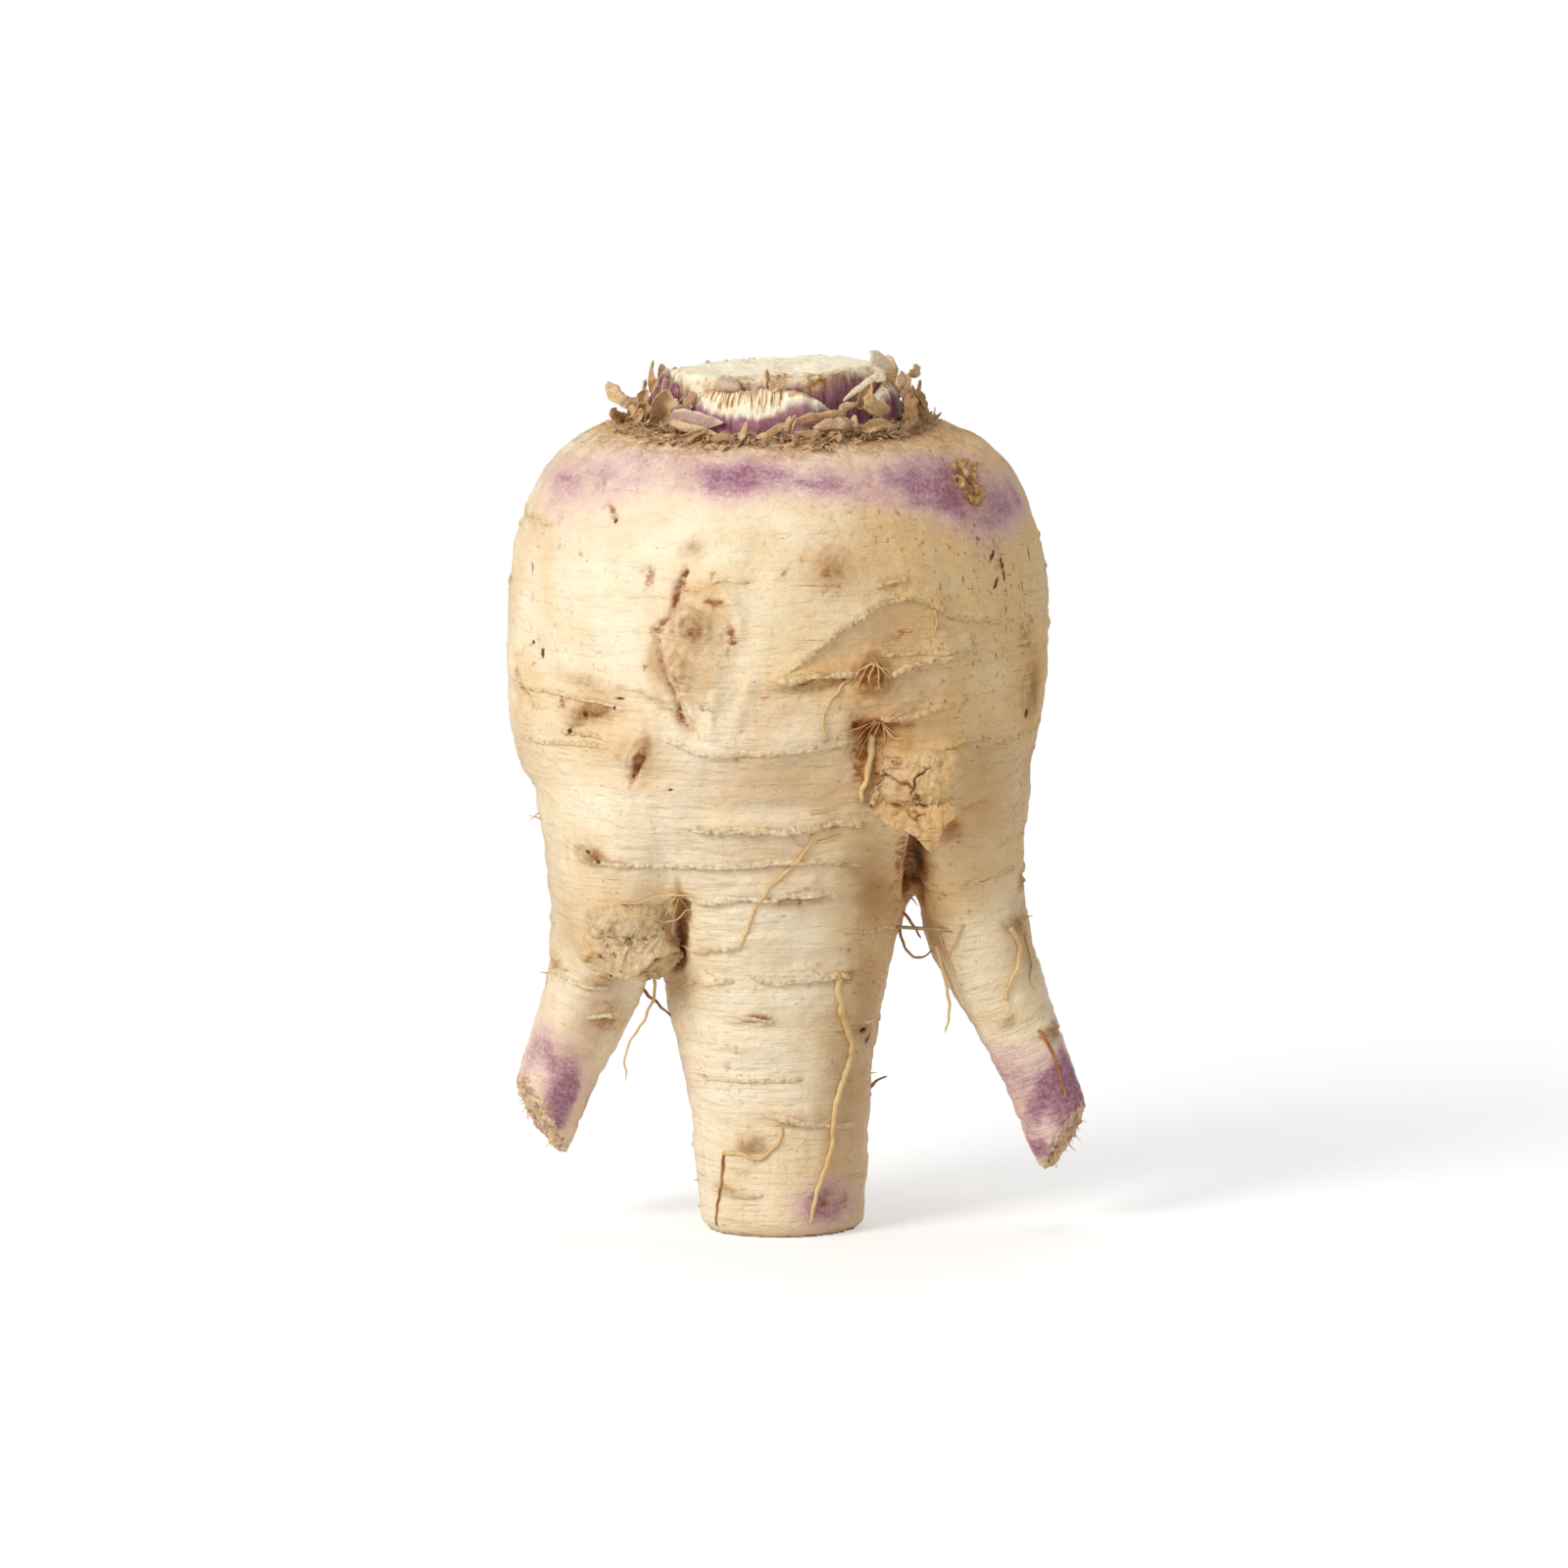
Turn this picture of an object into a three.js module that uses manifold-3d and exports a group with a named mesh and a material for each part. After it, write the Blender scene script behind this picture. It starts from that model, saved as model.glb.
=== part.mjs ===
// One chicory root with three legs, standing on the sawn-off end of its taproot.
// Millimetres, +Z up, the broad front towards -Y. The origin is the middle of the flat end it stands on.
import * as THREE from "three";
import { mergeVertices } from "three/addons/utils/BufferGeometryUtils.js";
import Module from "manifold-3d";

const wasm = await Module();
wasm.setup();

// ---------------------------------------------------------------- driving dimensions
const GAP = 0.3; // clear space between pieces that touch
const UP = new THREE.Vector3(0, 0, 1);

// Level sections of the taproot: height, middle x, middle y, half width, half depth.
const TAPROOT = [
  [0, 0, 0, 13.0, 11.2],
  [0.7, -0.1, 0, 14.3, 12.2],
  [2.8, -0.2, 0, 14.4, 12.8],
  [9, -0.4, 0, 14.6, 13.0],
  [20, -0.6, 0, 15.4, 13.8],
  [30, -1.0, 0, 16.6, 15.4],
  [40, -1.4, 0, 18.5, 18.0],
  [50, -1.7, 0, 21.0, 21.6],
  [58, -2.2, 0, 24.2, 25.6],
  [66, -1.6, 0, 30.4, 29.6],
  [74, -1.0, 0, 38.2, 33.2],
  [82, -1.1, 0.3, 43.8, 36.4],
  [92, -0.6, 0.5, 46.1, 39.2],
  [103, -0.4, 0.5, 46.6, 40.8],
  [113, -0.4, 0.4, 46.3, 40.9],
  [121, -0.5, 0.2, 45.4, 40.0],
  [128, -0.6, 0, 43.1, 38.2],
  [133.5, -0.6, 0, 39.9, 35.8],
  [137.6, -0.6, 0, 35.8, 31.8],
  [140.2, -1.0, 0, 30.2, 27.0],
  [141.7, -1.4, 0, 22.6, 21.0],
  [142.3, -1.5, 0, 14.0, 13.2],
];
const LEFT_LEG = [
  [12, -43.8, -2.2, 6.3, 6.0],
  [18, -42.4, -2.4, 6.6, 6.4],
  [26, -39.6, -2.8, 7.0, 7.1],
  [33, -36.4, -3.2, 7.6, 7.9],
  [40, -33.4, -3.6, 8.5, 9.0],
  [47, -31.0, -3.9, 9.4, 11.4],
  [54, -29.0, -3.6, 10.8, 15.6],
  [62, -26.6, -2.4, 13.6, 21.0],
  [71, -23.4, -0.8, 18.0, 27.0],
  [80, -20.0, 0, 22.2, 31.0],
  [90, -17.0, 0, 25.0, 33.0],
];
const RIGHT_LEG = [
  [8, 51.4, 1.6, 5.7, 5.4],
  [14, 48.8, 1.4, 5.9, 5.7],
  [22, 46.2, 1.2, 6.2, 6.2],
  [29, 43.4, 1.0, 6.7, 6.8],
  [36, 40.3, 0.6, 7.4, 7.6],
  [43, 37.2, 0.2, 8.3, 8.8],
  [50, 34.5, 0, 9.0, 11.0],
  [58, 32.4, 0, 9.6, 14.8],
  [66, 30.0, 0, 11.6, 20.4],
  [74, 26.2, 0, 16.2, 26.4],
  [82, 21.8, 0, 20.8, 30.6],
  [92, 18.0, 0, 24.6, 33.0],
];
// The knife's plane across each leg's tip: a point on it and the way the waste lies.
const LEFT_CUT = { at: [-42.2, -2.4, 19.9], waste: [-0.78, -0.34, -0.53] };
const RIGHT_CUT = { at: [49.6, 1.4, 15.6], waste: [0.8, -0.3, -0.52] };
// The narrow upper ends of the gaps between the legs, as seen from the front: x and z of their corners.
const FORKS = [
  [[-22.6, 48.4], [-21.2, 48.4], [-19.4, 40], [-25.4, 40]],
  [[22.1, 62.4], [23.5, 62.4], [25.0, 50], [19.8, 50]],
];
// Stumps of lost side roots that swell out of the skin: middle, half sizes.
const SWELLINGS = [
  { at: [23.0, -21.5, 84], size: [13, 13, 11] },
  { at: [-26.4, -9.0, 52.6], size: [10.5, 10, 8.5] },
];

// Bark that has come away from the skin, as seen from the front: x and z of its corners.
const BARK_THICKNESS = 1.1;
const TORN_FLAP = [
  [14.0, 79.8], [16.7, 83.3], [18.0, 86.6], [21.2, 88.2], [25.2, 88.6],
  [29.4, 84.6], [31.6, 80.4], [28.6, 78.2], [27.0, 75.4], [26.0, 71.8],
  [24.6, 72.8], [22.6, 75.0], [18.4, 77.2],
];
const PEELED_PATCH = [
  [-35.0, 55.6], [-31.0, 60.6], [-25.0, 61.4], [-19.8, 60.2], [-18.2, 54.6],
  [-18.6, 50.4], [-22.4, 47.6], [-27.2, 47.2], [-32.4, 49.8],
];

// The crown: a stump of cut leaf stalks on top of the shoulder. Turns are in degrees from the front, rightwards.
const CROWN = new THREE.Vector3(-1.5, 0, 142.6);
const CORE = { footRadius: 17.3, topRadius: 17.0, height: 8.4, rise: 3 };
const STALK_BASES = [
  { name: "stalk_base_inner_front", turn: -18, span: 84, inner: 17.8, outer: 19.0, top: 8.6 },
  { name: "stalk_base_inner_right", turn: 66, span: 76, inner: 17.8, outer: 19.0, top: 8.6 },
  { name: "stalk_base_inner_back", turn: 152, span: 84, inner: 17.8, outer: 19.0, top: 7.4 },
  { name: "stalk_base_inner_left", turn: -112, span: 84, inner: 17.8, outer: 19.0, top: 7.0 },
  { name: "stalk_base_outer_front", turn: -10, span: 78, inner: 19.4, outer: 21.7, top: 6.4 },
  { name: "stalk_base_outer_right", turn: 92, span: 66, inner: 19.4, outer: 21.3, top: 5.2 },
  { name: "stalk_base_outer_back", turn: 178, span: 70, inner: 19.4, outer: 21.3, top: 5.6 },
  { name: "stalk_base_outer_left", turn: -88, span: 62, inner: 19.4, outer: 21.2, top: 6.2 },
];
// Dried leaf scales round the crown: turn, length, width, lean outwards, twist, roll to the right, distance beyond
// the ring, height above the crown's foot.
const SCALE = { thickness: 0.6, ring: 22.3 };
const SCALES = [
  [-72, 3.9, 2.4, 0, 72, 0, -2.1, 5.7], [-72, 8.3, 3, -5, 62, 37, -0.9, 2.4], [-74, 7.3, 1.4, 9, 56, -70, 1.9, 0.8],
  [-76, 5.8, 2.8, -1, 60, 37, 1.5, 0.3], [-59, 7.4, 4.6, 1, 66, 39, 1.3, -0.6], [-46, 10.5, 4, -5, -2, 90, 1.9, 1.4],
  [-43, 10.5, 1.5, 2, -10, 96, 3.3, 1], [-13, 4.3, 1.2, 10, -6, 25, 2.9, -1.3],
  [30, 10.2, 2.4, -1, -4, -93, 2.3, 2.7], [29, 7, 2.2, 9, 18, -91, 3.9, 1.7], [38, 9.9, 3.2, -4, -10, 103, 2.3, 4.6],
  [39, 5.4, 2.5, 2, -16, 43, 0.9, 3.5], [53, 8.5, 1.3, -7, 50, -111, 0.1, 8.7],
  [62, 4.1, 2.2, -1, -74, -9, -1.5, 6.9], [54, 10.5, 3.4, -2, 20, 104, -2.1, 11.8],
  [66, 9.4, 2.2, -3, -28, 76, 0.7, 6.1], [74, 7.7, 1.5, -1, -94, -30, 2.1, -0.3],
  [71, 6.2, 2.8, 2, -54, -12, 2.9, -1], [116, 7.4, 5.2, 54, -12, 8, 0.2, 0], [133, 9, 4.6, 24, 10, -14, 1.2, 0],
  [149, 6.8, 5.4, 64, -6, 20, 1.8, 0], [166, 8, 4.8, 38, 16, -60, 1.6, 0.6], [184, 7, 5.6, 60, -14, 0, 1.4, 0],
  [201, 9, 4.4, 22, 8, 24, 0.4, 0], [218, 7.4, 5.4, 56, -10, -76, 1.8, 0.8], [236, 8.2, 4.8, 32, 18, 10, 0.2, 0],
  [262, 7.4, 4.8, 62, -8, -10, 1.6, 0],
];

// Fine roots. "facing" is the turn of the side they are on, where a pair is a place on that side's skin, as across
// and height, and a triple is a free point x, y, z.
const ROOTLETS = [
  { name: "rootlet_taproot_long", radius: 0.6, facing: 0, route: [
    [9.6, 47.4], [10.3, 39.9], [11.8, 34.8], [11.7, 31.9], [8.8, 21.9], [8.5, 15.9], [5.2, 5.6], [4.8, 2.2]] },
  { name: "rootlet_belly", radius: 0.45, facing: 0, route: [
    [6.4, 76], [2.0, 68.9], [-2.4, 64.5], [-5.8, 57], [-7.5, 52.6]] },
  { name: "rootlet_hollow", radius: 0.55, facing: 0, route: [
    [15.2, 91.6], [14.8, 87.6], [12.6, 83.6], [12.0, 80.8]] },
  { name: "rootlet_foot_brown", radius: 0.42, facing: 0, route: [
    [-10.3, 13.2], [-10.6, 9.5], [-11.3, 4.4], [-11.3, 1.8]] },
  { name: "rootlet_foot_curved", radius: 0.4, facing: 0, route: [
    [-8.6, 15.3], [-3.8, 14.2], [-0.4, 17.4], [0, 20.4]] },
  { name: "rootlet_brow", radius: 0.35, facing: 0, route: [
    [11.4, 102.4], [8.2, 98.8], [6.8, 93.9], [8.1, 91.1]] },
  { name: "rootlet_right_knee", radius: 0.45, facing: 0, route: [
    [39.5, 54.4], [41.0, 50.7], [40.7, 47.7], [39.0, 43.2], [38.6, 41.0]] },
  { name: "rootlet_right_shin", radius: 0.36, facing: 0, route: [
    [44.4, 35.6], [46.2, 32.3], [47.6, 27.9], [48.9, 23.1]] },
  { name: "rootlet_right_loop", radius: 0.36, facing: 0, route: [
    [22.4, -4, 58.6], [20.4, -4.2, 53.4], [21.2, -4.2, 50], [22.9, -4, 48], [24.4, -3.8, 48.2], [25.8, -3.4, 49.8]] },
  { name: "rootlet_right_stray", radius: 0.36, facing: 0, route: [
    [21.6, -6.4, 57.4], [22.4, -6.8, 54.4], [24.1, -7, 51.8]] },
  { name: "rootlet_right_hanging", radius: 0.4, facing: 0, route: [
    [27.2, -8.4, 50.4], [27.8, -8.6, 46.6], [28.8, -8.4, 42.6], [28.9, -8, 38.4], [28.2, -7.8, 35.4]] },
  { name: "rootlet_left_hanging", radius: 0.35, facing: 0, route: [
    [-22.2, -10.8, 46.2], [-22.1, -10.4, 42.6], [-23.6, -10, 38.6], [-26.6, -9.6, 34.2], [-27.4, -9.2, 30.4],
    [-27.1, -9, 27.2]] },
  { name: "rootlet_left_strut", radius: 0.35, facing: 0, route: [
    [-24.4, -1.6, 42.2], [-22.2, -1.8, 40.2], [-20.4, -2, 38.2], [-18.6, -2, 36.9]] },
  { name: "rootlet_taproot_spike", radius: 0.36, facing: 0, route: [
    [15.2, -0.6, 24.6], [16.6, -1, 26], [18.2, -1.6, 27]] },
  { name: "rootlet_back_long", radius: 0.62, facing: 180, route: [
    [-5, 60], [-3, 52], [-5, 44], [-2, 34], [-3, 24], [-1, 15]] },
  { name: "rootlet_back_belly", radius: 0.45, facing: 180, route: [
    [16, 86], [12, 79], [13, 72], [10, 66]] },
  { name: "rootlet_back_foot", radius: 0.42, facing: 180, route: [
    [3, 30], [7, 26], [8.6, 20], [7.6, 15]] },
  { name: "rootlet_back_right_leg", radius: 0.4, facing: 180, route: [
    [-37.5, 44], [-39.5, 37], [-41.5, 30], [-43.6, 24]] },
  { name: "rootlet_back_left_leg", radius: 0.38, facing: 180, route: [
    [31.5, 46], [34, 39], [36.5, 32], [38.6, 26]] },
  { name: "rootlet_back_right_side", radius: 0.4, facing: 130, route: [
    [2, 92], [6, 85], [3, 78], [5, 72]] },
  { name: "rootlet_back_left_side", radius: 0.4, facing: -130, route: [
    [-2, 84], [-6, 78], [-3, 71], [-4, 66]] },
];

// ---------------------------------------------------------------- colours
const FINISH = {
  skin: { color: 0xe6d3ab, roughness: 0.62 },
  bark: { color: 0xc9ab78, roughness: 0.8 },
  cutFlesh: { color: 0xf1e7cb, roughness: 0.7 },
  stalk: { color: 0xa06a92, roughness: 0.5 },
  dryScale: { color: 0xb49a6c, roughness: 0.85 },
  rootlet: { color: 0xd8bd86, roughness: 0.7 },
};

// ---------------------------------------------------------------- from geometry to solid and back
function solidOf(geometry) {
  const bare = geometry.clone();
  for (const name of ["normal", "uv"]) bare.deleteAttribute(name);
  const merged = mergeVertices(bare, 1e-4);
  return new wasm.Manifold(
    new wasm.Mesh({
      numProp: 3,
      vertProperties: merged.attributes.position.array,
      triVerts: new Uint32Array(merged.index.array),
    }),
  );
}

function meshOf(name, solid, finish) {
  const { vertProperties, triVerts } = solid.getMesh();
  const geometry = new THREE.BufferGeometry();
  geometry.setAttribute("position", new THREE.BufferAttribute(vertProperties, 3));
  geometry.setIndex(new THREE.BufferAttribute(triVerts, 1));
  geometry.computeVertexNormals();
  const mesh = new THREE.Mesh(geometry, new THREE.MeshStandardMaterial({ ...finish, metalness: 0 }));
  mesh.name = name;
  return mesh;
}

// The largest of the pieces that a cut leaves.
function largest(solid) {
  return solid.decompose().sort((a, b) => b.volume() - a.volume())[0];
}

// ---------------------------------------------------------------- the root
// A closed body through level sections, with slow lobes so that it isn't an even ellipse.
function loft(sections, { sides, lobes, grow }) {
  const middles = new THREE.CatmullRomCurve3(
    sections.map(([z, x, y]) => new THREE.Vector3(x, y, z)),
  );
  const halves = new THREE.CatmullRomCurve3(
    sections.map(([, , , wide, deep]) => new THREE.Vector3(wide, deep, 0)),
  );
  const geometry = new THREE.CylinderGeometry(1, 1, 1, sides, sections.length - 1);
  const position = geometry.attributes.position;
  for (let i = 0; i < position.count; i++) {
    const t = THREE.MathUtils.clamp(position.getY(i) + 0.5, 0, 1);
    const middle = middles.getPoint(t);
    const half = halves.getPoint(t);
    const out = Math.hypot(position.getX(i), position.getZ(i));
    const turn = Math.atan2(-position.getZ(i), position.getX(i));
    const lobe =
      lobes * (Math.cos(3 * turn + middle.z / 34) + 0.6 * Math.cos(5 * turn - middle.z / 21));
    position.setXYZ(
      i,
      middle.x + out * (half.x + grow) * (1 + lobe) * Math.cos(turn),
      middle.y + out * (half.y + grow) * (1 + lobe) * Math.sin(turn),
      middle.z,
    );
  }
  return solidOf(geometry);
}

function knifeWaste({ at, waste }) {
  const size = 60;
  const box = new THREE.BoxGeometry(size, size, size);
  const out = new THREE.Vector3(...waste).normalize();
  box.applyQuaternion(new THREE.Quaternion().setFromUnitVectors(UP, out));
  const middle = new THREE.Vector3(...at).addScaledVector(out, size / 2);
  box.translate(middle.x, middle.y, middle.z);
  return solidOf(box);
}

function fork(corners, grow) {
  const middle = corners.reduce((sum, [x]) => sum + x / corners.length, 0);
  const inwards = (x) => x + THREE.MathUtils.clamp(0.9 * (middle - x), -grow, grow);
  const outline = new THREE.Shape(corners.map(([x, z]) => new THREE.Vector2(inwards(x), z - grow)));
  const prism = new THREE.ExtrudeGeometry(outline, { depth: 100, bevelEnabled: false });
  prism.rotateX(Math.PI / 2);
  prism.translate(0, 50, 0);
  return solidOf(prism);
}

function swelling({ at, size }, grow) {
  const ball = new THREE.SphereGeometry(1, 16, 10);
  ball.scale(...size.map((half) => half + grow));
  ball.translate(...at);
  return solidOf(ball);
}

// With grow above 0 it is a slightly fatter body, the cutter that keeps other pieces clear of the root.
function rootSolid(grow = 0) {
  const leg = { sides: 20, lobes: 0.02, grow };
  let root = loft(TAPROOT, { sides: 40, lobes: 0.012, grow });
  root = root.add(loft(LEFT_LEG, leg).subtract(knifeWaste(LEFT_CUT)));
  root = root.add(loft(RIGHT_LEG, leg).subtract(knifeWaste(RIGHT_CUT)));
  for (const stump of SWELLINGS) root = root.add(swelling(stump, grow));
  for (const corners of FORKS) root = root.subtract(fork(corners, grow));
  return root;
}

// A sheet of bark that follows the skin, cut to an outline seen from the front.
function barkSheet(corners) {
  const outline = new THREE.Shape(corners.map(([x, z]) => new THREE.Vector2(x, z)));
  const prism = new THREE.ExtrudeGeometry(outline, { depth: 60, bevelEnabled: false });
  prism.rotateX(Math.PI / 2); // the outline now stands upright and the prism runs to -Y
  return largest(solidOf(prism).intersect(rootSolid(GAP + BARK_THICKNESS)).subtract(rootSolid(GAP)));
}

// ---------------------------------------------------------------- the crown
function placeOnCrown(geometry, turn) {
  geometry.rotateZ(THREE.MathUtils.degToRad(turn));
  geometry.translate(CROWN.x, CROWN.y, CROWN.z);
  return geometry;
}

function crownCore() {
  const { footRadius, topRadius, height, rise } = CORE;
  const geometry = new THREE.CylinderGeometry(topRadius, footRadius, height, 28, 3);
  geometry.rotateX(Math.PI / 2);
  geometry.translate(0, 0, height / 2);
  const slope = Math.tan(THREE.MathUtils.degToRad(rise)) / height;
  const position = geometry.attributes.position;
  for (let i = 0; i < position.count; i++)
    position.setZ(i, position.getZ(i) * (1 + slope * position.getX(i)));
  return solidOf(placeOnCrown(geometry, 0));
}

// The foot of a leaf stalk, which clasps part of the way round the crown.
function stalkBase({ turn, span, inner, outer, top }, grow = 0) {
  const half = THREE.MathUtils.degToRad(span / 2 + 3 * grow);
  const front = -Math.PI / 2;
  const outline = new THREE.Shape();
  outline.absarc(0, 0, outer + grow, front - half, front + half, false);
  outline.absarc(0, 0, inner - grow, front + half, front - half, true);
  const geometry = new THREE.ExtrudeGeometry(outline, {
    depth: top + grow, bevelEnabled: false, curveSegments: 9,
  });
  return solidOf(placeOnCrown(geometry, turn));
}

// A pointed leaf scale, built upright in front of the crown, then leant, rolled and turned into its place.
function leafScale([turn, length, width, lean, twist, roll, beyond, lift], grow = 0) {
  const foot = 0.36 * width + grow;
  const belly = 0.72 * width + 2 * grow;
  const outline = new THREE.Shape();
  outline.moveTo(-foot, -grow);
  outline.lineTo(foot, -grow);
  outline.quadraticCurveTo(belly, 0.5 * length, 0, length + 2 * grow);
  outline.quadraticCurveTo(-belly, 0.5 * length, -foot, -grow);
  const depth = SCALE.thickness + 2 * grow;
  const geometry = new THREE.ExtrudeGeometry(outline, { depth, bevelEnabled: false, curveSegments: 4 });
  geometry.translate(0, 0, -grow);
  geometry.rotateX(Math.PI / 2);
  geometry.rotateZ(THREE.MathUtils.degToRad(twist));
  geometry.rotateX(THREE.MathUtils.degToRad(lean));
  geometry.rotateY(THREE.MathUtils.degToRad(roll));
  geometry.translate(0, -SCALE.ring - beyond, lift);
  return solidOf(placeOnCrown(geometry, turn));
}

// ---------------------------------------------------------------- rootlets
function skinPoint(skin, facing, across, height, lift) {
  const out = new THREE.Vector3(0, -1, 0).applyAxisAngle(UP, THREE.MathUtils.degToRad(facing));
  const side = new THREE.Vector3(1, 0, 0).applyAxisAngle(UP, THREE.MathUtils.degToRad(facing));
  const far = new THREE.Vector3(0, 0, height).addScaledVector(side, across).addScaledVector(out, 100);
  const [hit] = new THREE.Raycaster(far, out.clone().negate()).intersectObject(skin);
  return hit.point.addScaledVector(hit.face.normal, lift);
}

function rootlet({ radius, facing, route }, skin) {
  const lift = radius + GAP + 0.2;
  const points = route.map((place) =>
    place.length === 3 ? new THREE.Vector3(...place) : skinPoint(skin, facing, ...place, lift),
  );
  const path = new THREE.CatmullRomCurve3(points);
  const section = new THREE.Shape();
  section.absarc(0, 0, radius, 0, 2 * Math.PI);
  const geometry = new THREE.ExtrudeGeometry(section, {
    extrudePath: path, steps: Math.max(4, Math.round(path.getLength() / (4.4 * radius))),
    curveSegments: 3, bevelEnabled: false,
  });
  return solidOf(geometry);
}

// ---------------------------------------------------------------- the whole root
const keepClear = rootSolid(GAP).add(rootSolid(GAP).translate([0, 0, GAP]));
const group = new THREE.Group();
const root = meshOf("root_body", rootSolid(), FINISH.skin);
group.add(root);
group.add(meshOf("torn_bark_flap", barkSheet(TORN_FLAP), FINISH.bark));
group.add(meshOf("peeled_bark_patch", barkSheet(PEELED_PATCH), FINISH.bark));
group.add(meshOf("crown_core", crownCore().subtract(keepClear), FINISH.cutFlesh));
for (const base of STALK_BASES)
  group.add(meshOf(base.name, largest(stalkBase(base).subtract(keepClear)), FINISH.stalk));
// Each scale stops short of the root, the stalk bases and the scales before it.
let taken = keepClear;
for (const base of STALK_BASES) taken = taken.add(stalkBase(base, GAP));
SCALES.forEach((scale, i) => {
  const name = `dry_scale_${String(i + 1).padStart(2, "0")}`;
  group.add(meshOf(name, largest(leafScale(scale).subtract(taken)), FINISH.dryScale));
  taken = taken.add(leafScale(scale, GAP));
});
for (const one of ROOTLETS)
  group.add(meshOf(one.name, largest(rootlet(one, root).subtract(keepClear)), FINISH.rootlet));

export default group;
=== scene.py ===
"""Chicory root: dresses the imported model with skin, bark, crown, scales and fine roots, and sets its stage.

Laid out as an add-on: each operator makes one group of pieces, in metres, in the model's own frame. The
tables are in millimetres and degrees. A place on the skin is given as seen from one side of the root: how
far across to the right, and how high.
"""

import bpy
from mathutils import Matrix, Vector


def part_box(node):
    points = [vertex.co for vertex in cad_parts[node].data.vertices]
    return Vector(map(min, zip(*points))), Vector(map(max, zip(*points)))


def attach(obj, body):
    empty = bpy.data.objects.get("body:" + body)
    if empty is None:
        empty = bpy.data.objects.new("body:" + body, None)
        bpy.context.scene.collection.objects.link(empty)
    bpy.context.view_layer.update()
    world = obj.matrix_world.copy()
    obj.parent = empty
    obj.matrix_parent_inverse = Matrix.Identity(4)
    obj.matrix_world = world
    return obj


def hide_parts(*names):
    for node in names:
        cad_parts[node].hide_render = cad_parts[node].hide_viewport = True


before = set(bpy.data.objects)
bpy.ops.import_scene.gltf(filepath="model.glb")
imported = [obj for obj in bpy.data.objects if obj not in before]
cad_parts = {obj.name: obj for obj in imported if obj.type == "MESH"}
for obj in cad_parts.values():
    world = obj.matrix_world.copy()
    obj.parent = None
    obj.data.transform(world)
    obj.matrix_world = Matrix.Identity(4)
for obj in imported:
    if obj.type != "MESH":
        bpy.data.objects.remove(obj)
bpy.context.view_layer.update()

import math

import bmesh
import bpy
import numpy as np
from bpy.props import FloatProperty, FloatVectorProperty, IntProperty, PointerProperty
from mathutils import Vector
from mathutils.bvhtree import BVHTree

bl_info = {
    "name": "Chicory root",
    "version": (1, 0, 0),
    "blender": (4, 5, 0),
    "location": "3D View > Sidebar > Chicory root",
    "description": "Makes a forked chicory root with its skin, bark, crown, dry scales and fine roots",
    "category": "Add Mesh",
}

MM = 0.001
BODY = "root"


# The turn of each side that the root is seen from.
SIDES = {"front": 0, "right": 90, "back": 180, "left": -90, "back_right": 130, "back_left": -130}


def read_row(text):
    """The words of a row: names as they are, and numbers as numbers."""
    return tuple(word if word[0].isalpha() else float(word) for word in text.split())


def read_path(text):
    """Places along a path, with a comma between one and the next."""
    return [read_row(place) for place in text.split(",")]


def read_table(text, *first):
    """Rows, one to a line; what is given first begins each of them."""
    return [(*first, *read_row(line)) for line in text.strip().splitlines()]


def read_spots(**sides):
    """Rows, one to a line, each begun by the turn of its side."""
    return [row for side, text in sides.items() for row in read_table(text, SIDES[side])]


def read_routes(**sides):
    """Rows with semicolons between them: their side's turn, their own words and, past a colon, a path."""
    return [(SIDES[side], *read_row(head), read_path(route)) for side, text in sides.items()
            for head, route in (row.split(":") for row in text.split(";"))]


# ---------------------------------------------------------------- places on the root, in millimetres
# The crown: the middle of its foot, the radius of the ring of dry scales, and how high the cut face lies.
CROWN = np.array([-1.5, 0.0, 142.6])
CROWN_RIM = 22.3
FLESH_TOP = 8.2
# The legs, and the places where they are sawn off: a point on each cut and the way that the waste fell.
LEFT_LEG = {"top": (-27.0, -3.0, 60.0), "tip": (-43.6, -2.3, 15.0)}
RIGHT_LEG = {"top": (32.4, 0.0, 58.0), "tip": (50.6, 1.5, 10.0)}
LEFT_CUT = {"at": (-42.2, -2.4, 19.9), "waste": (-0.78, -0.34, -0.53)}
RIGHT_CUT = {"at": (49.6, 1.4, 15.6), "waste": (0.8, -0.3, -0.52)}

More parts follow.
